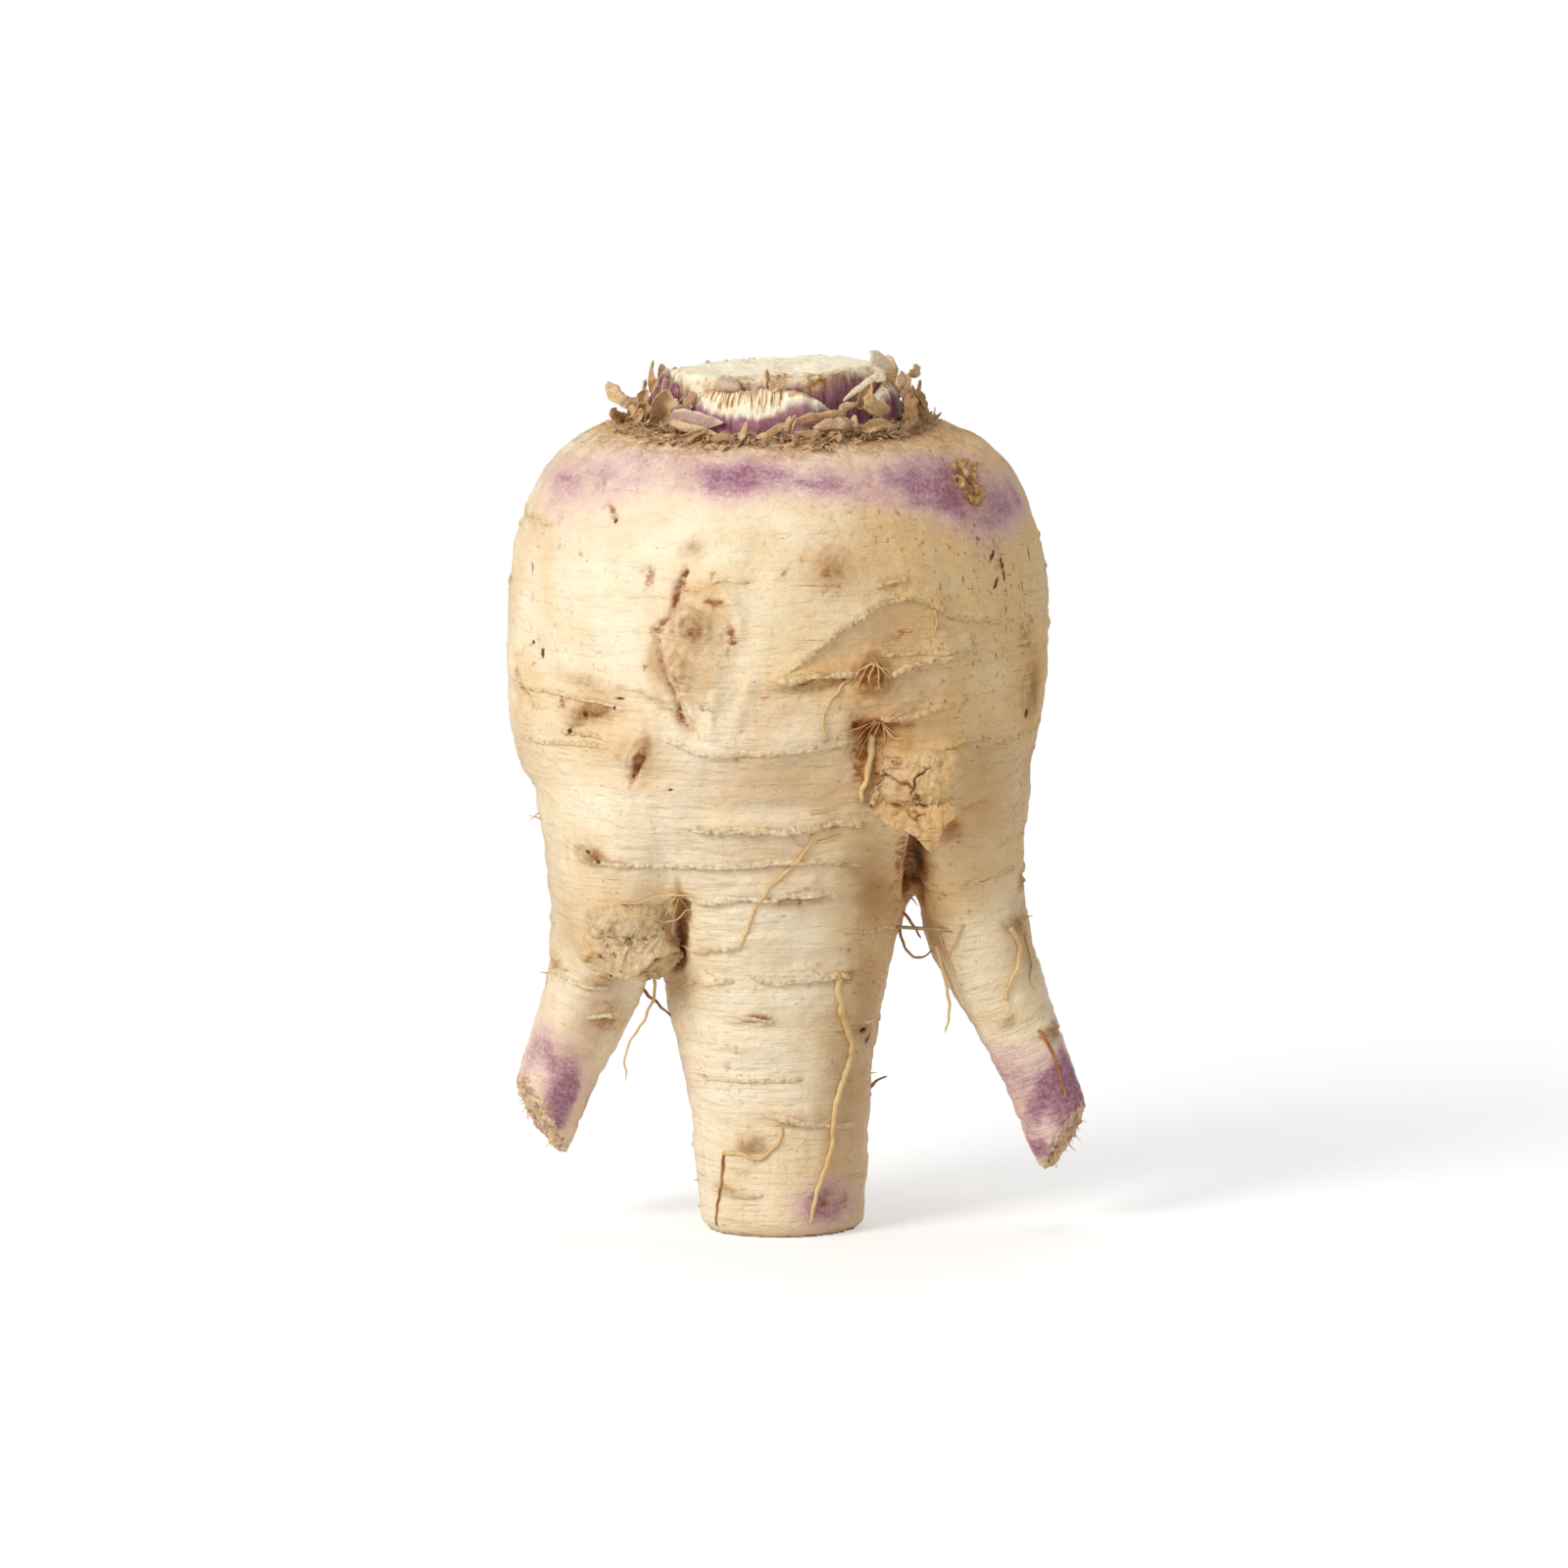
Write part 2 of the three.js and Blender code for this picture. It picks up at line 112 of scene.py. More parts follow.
# Swellings and hollows: across, height, half width, half height, turn, how far out.
SWELLINGS = read_spots(front="""
-14.2 111 7.5 12 -8 2.3
-15.4 101.5 5 5 0 1
-20.8 113.5 2 7.5 14 -1
-7.6 106 2.2 8 -12 -.7
-30 120 12 10 0 .7
9 124 13 8 0 .7
15 107.6 11 4 16 -1.2
30 104 11 6.5 0 .8
2 97 9 6 0 .6
-3 81.5 15 6.5 0 .6
15.3 102.9 3.2 3.4 0 1.2
15.4 90.6 2.8 4.4 8 -2.8
12.6 88.6 5.5 8 6 -1
-25.6 89.2 5 4.2 20 1.5
-27 98.2 9 2.6 -8 .9
-31.4 94.6 5 2.4 6 -.6
-16.2 98 3 4 30 -.9
31.6 133 2 4.6 38 -.9
22 82 9 6 0 .9
28.4 72.4 5.5 4.2 -34 -3.2
36 76.6 5 2 8 -.6
-27 53 8 6 0 .8
-21 74 10 7 0 .4
36 84 6 8 0 .5
""", right="""
-16 98 7 9 10 .9
8 112 9 7 0 .7
18 92 4 5 0 1.4
14 88 6 2.4 12 -.8
-4 124 12 5 0 -.5
2 78 7 8 0 .6
""", back="""
-20 116 6 9 -10 1.5
-13.5 113 1.8 8 -8 -.9
14 104 9 5 12 1
12 97 8 2.4 10 -1
2 124 13 6 0 .7
-28 96 5 6 0 .9
26 84 4 4 0 1.6
0 84 12 6 0 .6
-8 62 6 5 0 .7
""", left="""
-12 112 9 8 0 .8
14 100 5 6 10 1.4
12 95 6 2 -8 -.8
-16 88 6 5 0 .9
6 126 12 5 0 -.4
""")

# Creases (below 0) and ridges (above 0): half width, how far out: the places along it.
CREASES = read_routes(front="""
.9 .9: -29.8 101.4, -25.6 100.8, -22.3 100, -19.8 99, -16.4 97.4, -14.2 94;
1 -.8: -29 99.6, -24.6 99, -20.6 97.4, -17 94.6, -14.4 91; .8 -.8: -17.2 99.2, -15.6 94.7, -13.9 90.5;
.9 .7: -10.6 101, -11.6 96.4, -13 91; .8 .6: -4.6 103.4, -6.6 98, -8.4 92.4;
.6 -1.3: -15.6 121.6, -16.8 118.4, -17.8 115.2, -19 112.4, -21.4 110.2;
.5 -1: -21.4 110.6, -20.4 106, -19.2 102.4, -17.8 98.6, -17 94, -14.4 91;
.8 .5: -13.4 119.8, -9.6 118.2, -7 113.4, -6.6 108; .5 -1.2: -23.2 88.6, -24.2 86.4, -25 84.6, -25.8 82.6;
.7 -.6: -26.6 90.8, -27 87.2, -27.4 84.4;
.8 .75: -.5 103.2, 3.6 105.9, 8.6 110.2, 13.6 113.6, 17 115.6, 22 116.2, 25.4 114.7, 30 112.2, 35.5 110.8,
    39.8 109.5; .9 .8: 13.7 94.6, 17 95.4, 22 95.4, 27.4 96.6, 33 97.2;
.9 -.9: 14.6 92.8, 18.4 93.4, 23.4 93.6; .8 .7: 17.8 102.7, 21.2 103.9, 25.5 104.9, 31.3 105.3;
.9 .6: -1.4 102.4, 4 102.4, 8.6 103.2, 12.6 103.6; .8 -.6: -1 101, 4 100.8, 9 101.6, 12.6 102;
1.3 -2: -16.9 62, -17.3 57.5, -17.9 52, -18.6 47; 1.35 -4: 24.8 77.6, 23.8 73, 23 68, 22.7 63, 22.6 58;
2.6 .8: -14 91, -6.4 91.6, .3 91.6, 8.7 92.6; 3 -.8: -15 85.4, -6.4 85.8, .3 85.8, 8.7 86.4;
1.8 .5: -13.1 76.6, -6.4 77.1, .3 76.8, 8.7 77.8; 1.6 .45: -9.8 64.6, -1.4 65, 7 65.4;
1.2 -.9: 29 77.4, 33 78.2, 36 79.4
""", right="""
1 -.8: 14 104, 17 98, 19 92, 18 86; .9 .6: -20 106, -12 108, -4 107, 4 105
""", back="""
.9 -.9: -30 108, -24 105, -19 101, -16 95; .9 .8: 6 99, 12 100.6, 18 100, 25 102;
.9 -1.3: 22 88, 25 84, 27 79; 1.9 -3.4: -25 76, -23.8 70, -22.8 62, -22.4 56; 1.6 -2.4: 18 62, 20.4 54, 22 46
""", left="""
.9 -.9: 10 104, 14 99, 16 93; .9 .6: -22 102, -14 104, -6 103
""")

# Lips where the thin outer skin ends or has split across: height of the rim, width: the places along it.
LIPS = read_routes(front="""
.3 1.3: -45.2 87.6, -40.2 88.2, -33.3 89, -29.4 88.6;
.32 1.5: -21.1 91.2, -18.1 90.4, -15.3 88.8, -11.4 88.4, -6.4 89, .3 89, 8.7 90.2, 13 90.8;
.6 1.8: -16.5 75.1, -13.1 74.6, -6.4 75.1, .3 74.8, 5.3 75.1, 8.7 76.2, 15.4 75.3;
.5 1.5: -32.6 67.8, -26.6 67.7, -22.4 67.3, -16.5 67.9, -9.8 68, -4.7 68.5, .3 68.9, 7 69.1, 13.7 67.8;
.6 1.7: -16 61.3, -13.2 60.9, -8.1 61.8, -4.7 62.2, -1.4 61.9, .3 62.8, 5.3 62.5, 8.7 63;
.5 1.5: -16.4 51.7, -13.2 51.8, -10.7 52.6, -6.6 52.9;
.5 1.4: -5.6 47.1, .3 46.2, 5.4 46.8, 7.9 46.8, 9.6 47.4, 12.1 46.6; .35 1: -7.4 39.8, -4.8 39.5, -1.5 39.2;
.3 1.1: -14.9 28.1, -11.6 28.1, -6.5 28, -1.4 28.4, 3.7 28.3; .45 1.5: -1.4 21.5, 2 20.7, 7.9 19.7, 12.9 19;
.3 1: -9.9 7.5, -6.5 7.3, -3.1 7.6; .55 1.5: 17.8 102.3, 21.2 103.5, 24.5 104.4, 28.7 104.8, 33.6 105.2;
.6 1.9: -1.4 101.8, 1.1 101.5, 5.3 102.9, 8.6 102.6, 12.8 103;
.4 1.2: -.5 102.6, 3.6 105.2, 8.6 109.5, 13.6 112.8, 17 115, 22 115.6, 25.4 114, 29.6 111.6, 35.5 110.3,
    40.4 109.2; .45 1.4: 16.6 94.6, 22 94.8, 25.4 95.6, 32.1 97; .5 1.3: 16 117.9, 18 118.5, 21.4 118.8;
.35 1.2: 27 89, 31 90, 36 89.6; .35 1.1: 31 62.9, 35.4 64.4, 40.4 64.8;
.4 1.2: -36.6 45.6, -33 44.4, -29.6 44.6; .4 1.3: -34 38.6, -30.8 39.2, -27.6 38.6;
.3 1: -12 119, -9.4 119.4, -5.6 118.8; .3 1: 34.8 32, 38.2 33, 42.2 32.2
""")

# Stains of rust and tan: across, height, half width, half height, turn, strength.
STAINS = read_spots(front="""
-22.8 119 1.1 2.4 -8 .9
7.4 6.2 1.1 2.8 -6 1
28.6 75.2 2.8 1.5 -36 1
-4.4 39.9 2.4 .5 -4 1
-28.9 129.4 .8 1.6 20 .9
-21.4 110.3 1.4 .7 8 1.3
-15.1 110.4 1.3 1 10 1.2
-16.6 118.2 .7 2.4 -12 .6
-17.8 114.8 .6 4.2 16 .6
-20.4 105 .5 3.4 -10 .6
-17.5 95.8 .5 2 -8 .7
-8.9 110.4 .8 1.5 24 .9
-11.6 115.7 1.7 .6 -10 1.1
-12 120.3 .3 .9 0 1
7.5 122.6 1.4 2.2 20 .5
9.2 118.4 1.8 1.4 -20 .5
-6.9 122 1.6 .9 20 .4
-15.1 124.6 1.2 1.2 0 .5
36.8 121 .8 3.6 14 .5
41.6 107 1.3 2.4 10 .7
38 105.4 .7 1.2 0 .6
13.8 91.4 1.6 4 10 .9
13.4 85 1.2 3.6 10 1
16.9 84.6 1 1.6 0 .9
43.4 52.4 .7 5 14 .7
20.8 70 1.4 5 0 .9
-17.6 101.8 1.6 1.4 30 .6
18.9 109 1.8 1.1 0 .6
7.2 125.2 .8 .8 0 .6
-7.9 108.8 1.3 2.4 30 .7
-14.4 117.6 3.2 .8 8 .45
-11 115.4 2.2 .7 -12 .6
-32.4 94.4 3.2 1.3 12 .95
-37.9 95.5 .9 1.8 0 .8
-24.3 87.6 1 2.9 -20 1.3
-25.5 84 .5 2.2 -18 1.2
-19.2 82 .8 .8 0 .7
8.6 121 4 3.2 20 .35
15.3 103.2 2.6 2.8 0 1.1
15.6 93.4 3 1.8 0 1.4
14.2 88 3.4 6 8 .6
3.6 103 5 1 4 .35
31.9 133.2 1.4 4 36 .9
-32.2 69 1.8 1.2 -30 .8
-32.6 58.4 1.4 1.4 0 .5
-39.4 47.8 1 1.8 0 .6
-33 45.4 1.6 .9 0 .4
-30.9 38.4 2 1.5 0 .45
41.2 55.4 1.2 1.6 0 .6
44.8 34.6 2.2 .7 20 .8
38.4 37.4 .9 .7 30 .7
13.9 36.4 1.1 .7 0 .9
14.6 34.2 .7 1.5 10 .8
-4.4 17.4 2.2 1.6 0 .45
-6.8 11.4 2 .7 -20 .5
-4.4 39.4 2.6 .7 -4 .6
6 47.4 3 .7 0 .4
43.4 103 1.8 3.4 0 .35
42.4 93.6 .7 1.4 10 .7
19.6 58.6 2.2 4 0 .4
20.6 66 2 5 0 .5
-18 50 1.2 3 0 .7
""", right="""
-16 96 2.6 3.6 0 .5
18.4 90 1.6 3 10 1
0 116 2 1.2 0 .5
-8 62 1.4 2 0 .5
6 42 1.6 1 0 .6
10 106 1 2.2 0 .5
""", back="""
-20 112 2.2 3 0 .7
14 100 3.2 1.4 10 .7
26 83.6 1.6 3.2 20 1.2
-28 95 1.6 2.2 0 .8
3 70 2.2 1 0 .5
-6 34 1.8 .8 0 .6
6 18 1.4 1 0 .6
34 110 1.4 2 0 .5
-36 44 1.4 1 0 .6
34 40 1.2 1.6 0 .6
""", left="""
14 98 2.2 2.8 0 .25
-16 87 1.8 2.4 0 .7
2 114 1.2 2 0 .5
-4 68 1.6 1 0 .6
4 46 1.2 1.6 0 .5
""")

# Violet blushes, the shoulder's first and then those low down: across, height, half width, half height,
# turn, strength.
BLUSHES = read_spots(front="""
-28 136 11 4.6 10 .4
-38.6 129.6 4 6.4 -28 .3
-30 132 11 6 16 .22
0 136.4 16 3.8 0 .34
28 134 11 6.4 -22 .4
-8 136 8 2.6 0 .85
-11 133 5 2.2 0 .3
8.6 135.4 8.6 2.4 -3 .42
9 133.2 7 2 -4 .2
23 134.6 8 3.2 -10 .42
30.6 130.6 7.4 4.2 -36 .6
37 126.4 3.6 4.6 -50 .4
20 131.4 8 1.8 -6 .3
40.6 130 3.4 4 0 .3
""", right="""
-8 130 9 5 0 .45
12 133 10 3.6 -6 .7
27 129 6 4 10 .5
""", back="""
-24 133 9 3.8 -8 .65
-3 135 9 2.6 0 .9
14 133.6 7 3.4 4 .4
31 129 8 4.4 20 .55
""", left="""
-18 132.6 9 3.4 6 .6
6 133.2 10 3 0 .45
""") + read_spots(front="""
9.8 6 4.8 5 0 .65
5.4 5.8 4 4.4 0 .6
-41.6 33.2 4.2 5.4 20 .7
-38.4 25.2 3.2 7.2 -24 1
-40 20 2 3 -20 .6
50 25.4 3.6 7.2 16 1
46 22.6 5.6 8.4 20 .6
41.6 29.4 3.2 4.4 20 .3
44.8 14.4 1.6 2.2 0 .9
""", right="""
2 24 7 6 0 .6
""", left="""
0 28 6 6 0 .6
""", back="""
-47 22 4 6 0 .5
41 27 4 6 0 .5
-6 4 5 3.4 0 .4
""")

# Dark pits and slits, a millimetre or so long: across, height, half width, half length, turn.
PITS = read_spots(front="""
-28.4 128.1 .3 .6 12
-42.7 105.6 .3 .5 0
-41 104 .35 1 8
35.9 121.4 .3 1.9 22
37.6 119.6 .3 1.5 -4
36.6 116.6 .35 1.3 26
38 117.6 .25 1.2 -8
-36.4 91 .35 .7 20
-28.6 96.2 .3 .4 0
-19.2 82.3 .4 .3 0
42 93.2 .3 1.2 8
-33.4 69.8 .4 .3 30
-31.6 68.4 .35 .6 -30
14 36.6 .9 .45 -6
14.8 34.4 .35 1 14
-33.6 94.2 .6 .4 0
12.4 94 .9 .7 30
17.6 83.4 .5 .9 10
23 80 .5 .4 0
-27.6 97.8 .8 .3 4
""", right="""
-12 120 .3 1.4 16
4 101 .35 .8 0
14 112 .3 1.2 -12
""", back="""
10 126 .4 .8 0
-12 106 .3 1.3 14
30 104 .4 .8 10
""", left="""
-6 104 .35 1 8
16 118 .3 1.2 -14
""")

# Soft washes of yellow-tan round knots and scars: across, height, half width, half height, turn, strength.
WASHES = read_spots(front="""
-14.6 109 6.4 10 -8 1.3
-17.8 102 4.6 5 0 .8
-30.5 97.2 8 3.6 -8 .7
-25 90 6.5 5.4 0 .9
-22.5 85 3.4 4 0 .7
15 103 6.5 4.4 0 .9
5.5 102.4 6.5 2.8 4 .8
16.5 88 6 8 0 .8
9 121.6 4.6 4.6 0 .55
12 128.6 3.6 3.6 0 .3
42 100 3 11 0 .3
-40.8 112 3 12 0 .3
-30 60 6.5 5 0 .5
-22 62.4 8 3 0 .5
32 133.4 4 5 30 .8
-31 38.6 4 3 0 .5
-4 17 6 4.4 0 .5
-7.5 11 3.4 4 0 .45
12 38 4 10 0 .45
41.6 52.4 2.4 5 0 .55
24.4 51 2.4 7 0 .5
37.6 38 3 3.4 0 .5
20 60 4 9 0 .6
-12 118.6 7 2.6 0 .35
""", right="""
-14 98 8 7 0 .7
17 90 5 8 0 .8
0 60 5 12 0 .4
2 118 8 4 0 .4
""", back="""
-20 111 7 9 0 .8
16 100 9 4 8 .7
25.5 84 5 5 0 .9
-28 95 5 5 0 .7
2 72 9 4 0 .4
0 30 6 8 0 .4
""", left="""
14 98 5 6 0 .8
-16 88 5 5 0 .7
0 112 7 5 0 .5
0 62 5 10 0 .4
""")

# Corky knots, wrinkled in rings: across, height, half width, half height, turn, strength.
KNOTS = read_spots(front="""
-14.9 111 3.2 3.8 -10 .8
-17 104.4 2.6 4.4 6 .6
-24.2 88.4 1.6 4 -18 .8
-32.4 95.2 3.2 1.8 14 1
-35.4 93 1.6 1 20 .8
-33.6 100.2 4 1 -12 .5
15.4 102.8 2.9 3.4 0 1
5 101.8 5.8 1.2 6 .9
16 92.6 3 2.4 0 .9
8.2 121 3.2 2.6 20 .45
18.4 118.5 1.8 .8 8 .7
-15.2 124.6 2 1.5 20 .5
-32.7 69.3 2.2 1.4 -24 1
-28.4 68.4 2 .7 -10 .6
-4 75.4 7 .8 0 .6
7.4 76.2 2.6 1 10 .9
3.4 62.4 4.6 1 6 .9
-31.5 46 2.6 .9 6 .8
-30.6 38.8 2 1.5 0 .8
-39.4 48.3 .9 1.4 0 .7
40 54.8 1.8 1 -20 1
47 35.2 1.8 1.2 24 1
38.9 37.6 .9 .8 30 .8
11.2 47 1.3 .8 0 .9
13.6 36 1.3 1 -10 1
-5.6 16.9 2 1.2 4 .9
1.4 21.4 3.4 .9 -6 .8
-4.4 39.9 2.8 .6 -4 .9
-9.4 8.6 3.2 .7 -14 .6
7 47 3.6 .7 4 .6
32 132.4 1.6 3.4 36 .8
""", right="""
-16 97 3 4 0 .8
18.4 90.5 2.4 3.2 10 1
0 116 2.4 1.4 0 .6
-6 62 1.8 1.2 0 .8
6 42 1.8 1 0 .8
""", back="""
-20 111 4 6 -8 .6
14 100.4 4.6 1.6 10 .8
26 83.6 2.4 3.2 20 .9
-28 95 2.6 2.4 0 .9
3 70 2.6 1.2 0 .7
-6 34 2.2 1 0 .8
6 18 1.8 1.2 0 .8
""", left="""
-16 87 2.4 2.4 0 .8
2 114 2 1.4 0 .6
-4 68 2 1.2 0 .8
""")

# Painted shade, with a little stain: skin made darker and duller, mostly where shade falls, under the
# lips and folds, in the crevice, beside the torn flap and down the right-hand edges, and on a few
# dark brown knots: across, height, half width, half height, turn, strength.
SHADE_AND_STAIN = read_spots(front="""
0 84 19 6 0 .5
-5 69 16 5 0 .3
-17 78 6 4.6 0 .2
34 79 9 14 0 .4
32 106 6 10 0 .15
28.4 73.8 2.6 3 -30 1
24.2 69 2 9 6 .8
23.4 68 1.2 8.4 4 2.8
15.4 63 4.8 10 8 .85
14.6 42 3.4 15 0 .6
11 26 4.6 18 0 .55
-32 39.4 3.2 9 -24 .55
-36.4 55 3 6 0 .3
10 121 9 9 0 .2
-17.4 55.4 1 8 4 2
-19 46 3.4 5 0 .7
14.4 88 2.6 5 6 .6
15 95.6 5 2.2 0 .5
-21.6 105 1.2 5 8 .5
-2.4 95.6 .7 4.6 -22 .35
42.6 52 2 7 16 .6
19 105 13 13 0 .36
15.2 103.2 3.2 3.2 0 1.2
15.5 93.6 3.6 1.9 0 1.7
-3 96 11 5 0 .25
3 83 16 6 0 .2
25.6 52.4 1.6 6 14 .5
31.6 66 7 6 0 .3
""", right="""
0 84 18 6 0 .4
4 62 10 10 0 .35
""", back="""
-2 83 16 5 0 .5
4 60 14 6 0 .4
-24 69 2.6 9 0 .8
19.6 55 2.6 9 0 .7
""", left="""
0 84 14 5 0 .35
4 60 9 9 0 .3
""")

# Where the skin has its finest folds, and so its finest mesh: across, height, half width, half height.
FINE_AREAS = read_spots(front="""
-16 107 11 15
-27 94 11 8
-23.5 86 5 8
14 98 18 9
18 84 9 12
27 110 16 7
-18 55 4 10
23 68 5 12
32 133 4 6
0 67 20 9
-41 20 6 10
49 16 6 10
""", back="""
-20 110 8 12
25 85 6 8
""", right="""
17 94 6 10
""", left="""
14 99 6 8
""")

# The crown's stalk bases: node, turn, span, the wall's radii (foot, outer rim, inner rim), how dried and
# how torn the rim is, and from where to where it shows a scar with its fibres. Then the outer rim and the
# inner rim, each as shares of the way along the wall from left to right and heights above the crown's foot.
STALKS = [(*read_row(head), read_path(low), read_path(high)) for head, low, high in (
    row.split(":") for row in """
stalk_base_outer_front -10 78 22.3 21.7 19.3 .9 1 .16 .72:
    0 2.6, .1 5.2, .2 4.4, .3 3.4, .5 2.7, .62 3, .7 4.8, .78 6, .9 4.6, 1 2.6:
    0 3, .1 5.5, .2 6.2, .3 6.7, .5 6.5, .6 7.2, .7 6.8, .8 6.4, .9 5, 1 2.9;
stalk_base_outer_right 92 66 22 21 19.4 .5 .7 .1 .5:
    0 3.6, .2 5.4, .5 4.4, .8 3.6, 1 2.4:
    0 4.4, .3 6.6, .6 5.6, 1 2.6;
stalk_base_outer_back 178 70 22 21.3 19.4 .8 1 .2 .7:
    0 3, .3 4.2, .55 3.2, .8 4.8, 1 2.6:
    0 3.4, .3 6.4, .55 6.8, .8 6, 1 2.8;
stalk_base_outer_left -88 62 22 20.4 18.9 .4 .9 .3 .6:
    0 2.6, .3 4.4, .6 5.4, .85 4.6, 1 2.8:
    0 3, .3 6.4, .62 7.6, .85 5.6, 1 3;
stalk_base_inner_front -16 94 19 18.5 17.6 .25 .55 0 0:
    0 3.6, .2 4.2, .3 7.4, .45 8, .56 7.4, .64 8.4, .72 7.6, .86 8.2, 1 8.2:
    0 4, .2 4.8, .3 8.2, .45 8.7, .56 8.2, .64 9.2, .72 8.4, .86 8.9, 1 8.8;
stalk_base_inner_right 66 82 18.8 18.4 17.5 .3 .45 0 0:
    0 8.4, .2 9.2, .5 8, .75 8.6, 1 7:
    0 8.9, .2 9.8, .5 8.8, .75 9, 1 7.4;
stalk_base_inner_back 152 84 19 18.5 17.6 .3 .7 .3 .6:
    0 6.8, .3 7.4, .6 5.6, 1 7.2:
    0 7.2, .3 8, .6 6.4, 1 7.6;
stalk_base_inner_left -112 84 19 18.3 17.6 .3 .7 .2 .5:
    0 7, .35 5.8, .65 7.2, 1 3.6:
    0 7.4, .35 6.6, .65 7.8, 1 4
""".split(";"))]

# Spots of sap on the front of the cut crown: across, height, half width, half height, turn, strength.
SAP = read_table("""
-6.8 150.4 2.6 1 0 .9
-.6 151 2.2 .8 0 .7
5.6 150.4 2.6 1.4 10 1.2
10.4 150.9 1.8 .9 0 .7
-13.4 149.6 1.5 1.5 0 .8
-15.5 149.4 .7 1.6 0 1
""")

# Dry leaf scales. Each is built upright before the crown, then twisted about its length, leant outwards,
# rolled to its right and set round the crown: turn, length, width, lean, twist, roll, how far beyond the
# rim, lift, curl along its length, then how brown, how lilac and how pale it is.
SCALES = read_table("""
-72 3.9 2.4 0 72 0 -2.1 5.7 12 .45 .1 0
-72 8.3 3 -5 62 37 -.9 2.4 10 0 1 .1
-74 7.3 1.4 9 56 -70 1.9 .8 44 .4 0 0
-76 5.8 2.8 -1 60 37 1.5 .3 20 .1 0 .1
-59 7.4 4.6 1 66 39 1.3 -.6 34 0 0 .2
-46 10.5 4 -5 -2 90 1.9 1.4 16 0 .85 .3
-43 10.5 1.5 2 -10 96 3.3 1 20 .1 .1 .3
-13 4.3 1.2 10 -6 25 2.9 -1.3 -26 0 0 .25
30 10.2 2.4 -1 -4 -93 2.3 2.7 14 .35 .25 0
29 7 2.2 9 18 -91 3.9 1.7 16 0 .3 .15
38 9.9 3.2 -4 -10 103 2.3 4.6 34 .2 0 .05
39 5.4 2.5 2 -16 43 .9 3.5 24 .12 0 .1
53 8.5 1.3 -7 50 -111 .1 8.7 26 0 .05 .8
62 4.1 2.2 -1 -74 -9 -1.5 6.9 16 0 .1 .85
54 10.5 3.4 -2 -26 104 -2.1 11.6 22 0 .3 1
66 9.4 2.2 -3 -28 76 .7 6.1 30 0 0 .35
74 7.7 1.5 -1 -94 -30 2.1 -.3 30 .85 0 0
71 6.2 2.8 2 -54 -12 2.9 -1 24 .5 0 0
116 7.4 5.2 54 -12 8 .2 0 30 .2 .2 0
133 9 4.6 24 10 -14 1.2 0 26 0 0 .2
149 6.8 5.4 64 -6 20 1.8 0 30 .35 0 0
166 8 4.8 38 16 -60 1.6 .6 26 0 .5 .2
184 7 5.6 60 -14 0 1.4 0 34 .1 0 .1
201 8 4.4 46 8 24 .4 0 22 .25 0 0
218 7.4 5.4 56 -10 -76 1.8 .8 26 0 .3 0
236 8.2 4.8 32 18 10 .2 0 30 .5 0 0
262 7.4 4.8 62 -8 -10 1.6 0 26 .1 0 .2
-62 4.4 2 0 76 7 -1.3 3.5 12 0 .95 .15
-56 3 2.8 0 48 -2 -2.1 4.3 8 0 1 0
-41 3.6 2.2 4 52 41 .6 3.2 30 .5 .35 0
-47 4.4 2 4 2 73 1.1 2.7 20 .05 .1 .2
-23 2.8 5 -3 22 1 -2.1 6.5 8 0 .55 .45
-2 3.3 1.5 -1 26 -4 -1.9 7.1 12 .1 0 .2
2 2.1 2.2 2 -8 -39 -1.4 6.9 12 .05 0 .25
6 3.8 1.3 9 6 16 2.7 -.1 -20 0 0 .25
5 2.9 .9 8 -26 12 2.9 .2 16 .15 0 .1
28 3.9 1.9 8 -2 66 1.9 3.3 28 .1 0 .15
38 4.8 1.1 6 -6 117 3.5 4 26 .15 0 .2
32 2.1 1.6 12 -12 4 3.5 .7 30 .1 .1 .2
73 8 2.4 -2 44 116 2.5 9.2 24 .1 0 .25
80 3.5 .6 -1 80 -154 3.3 6.6 12 .9 0 0
74 7.9 .7 -5 66 121 3.6 3.9 12 1 0 0
70 5.2 1.2 -5 -78 64 1.3 4.2 20 0 0 .5
77 7.4 1 -1 -48 -30 2.3 -.3 -24 1 0 0
79 5.1 2.8 -1 -64 -42 3.9 .6 40 1 0 0
80 8.2 1.9 -7 -76 -60 4.3 .1 44 1 0 0
17 5 1.6 19 14 -76 5.1 -.3 30 .5 .1 0
34 6.4 2 11 -30 78 4.9 .6 36 .4 0 .05
52 10.5 1.7 -9 8 91 5.1 -.1 40 .75 0 0
-80 5.6 2.2 -10 42 58 3.1 -1.7 30 .3 0 .1
-37 6.2 1.5 11 18 73 4.5 -1.5 30 .55 .15 0
-23 4.3 1.4 18 -12 73 4.5 -1.2 30 .6 .2 0
-6 5.6 1.7 17 12 62 3.7 -.9 30 .2 .1 .1
104 6.2 2.4 20 20 30 1.4 -.2 50 .8 0 0
122 6.8 3 70 -20 60 3 -.6 40 .3 0 .1
142 5.4 2.2 30 30 -40 2.2 -.4 -30 .6 0 0
160 5.8 3 76 10 70 3.4 -.8 34 .2 .2 0
175 7.2 2 24 -24 30 1.2 .2 50 .9 0 0
192 6 2.8 66 20 -80 3.2 -.8 30 .4 0 .1
210 5 2 20 -10 -30 .8 .4 46 .2 0 .4
228 6.4 2.8 72 -16 66 3.4 -.8 36 .5 0 0
248 6.6 2.4 34 26 -34 1.8 0 44 .1 .1 .3
272 6 2.2 50 -20 60 3 -.6 40 .7 0 0
""")

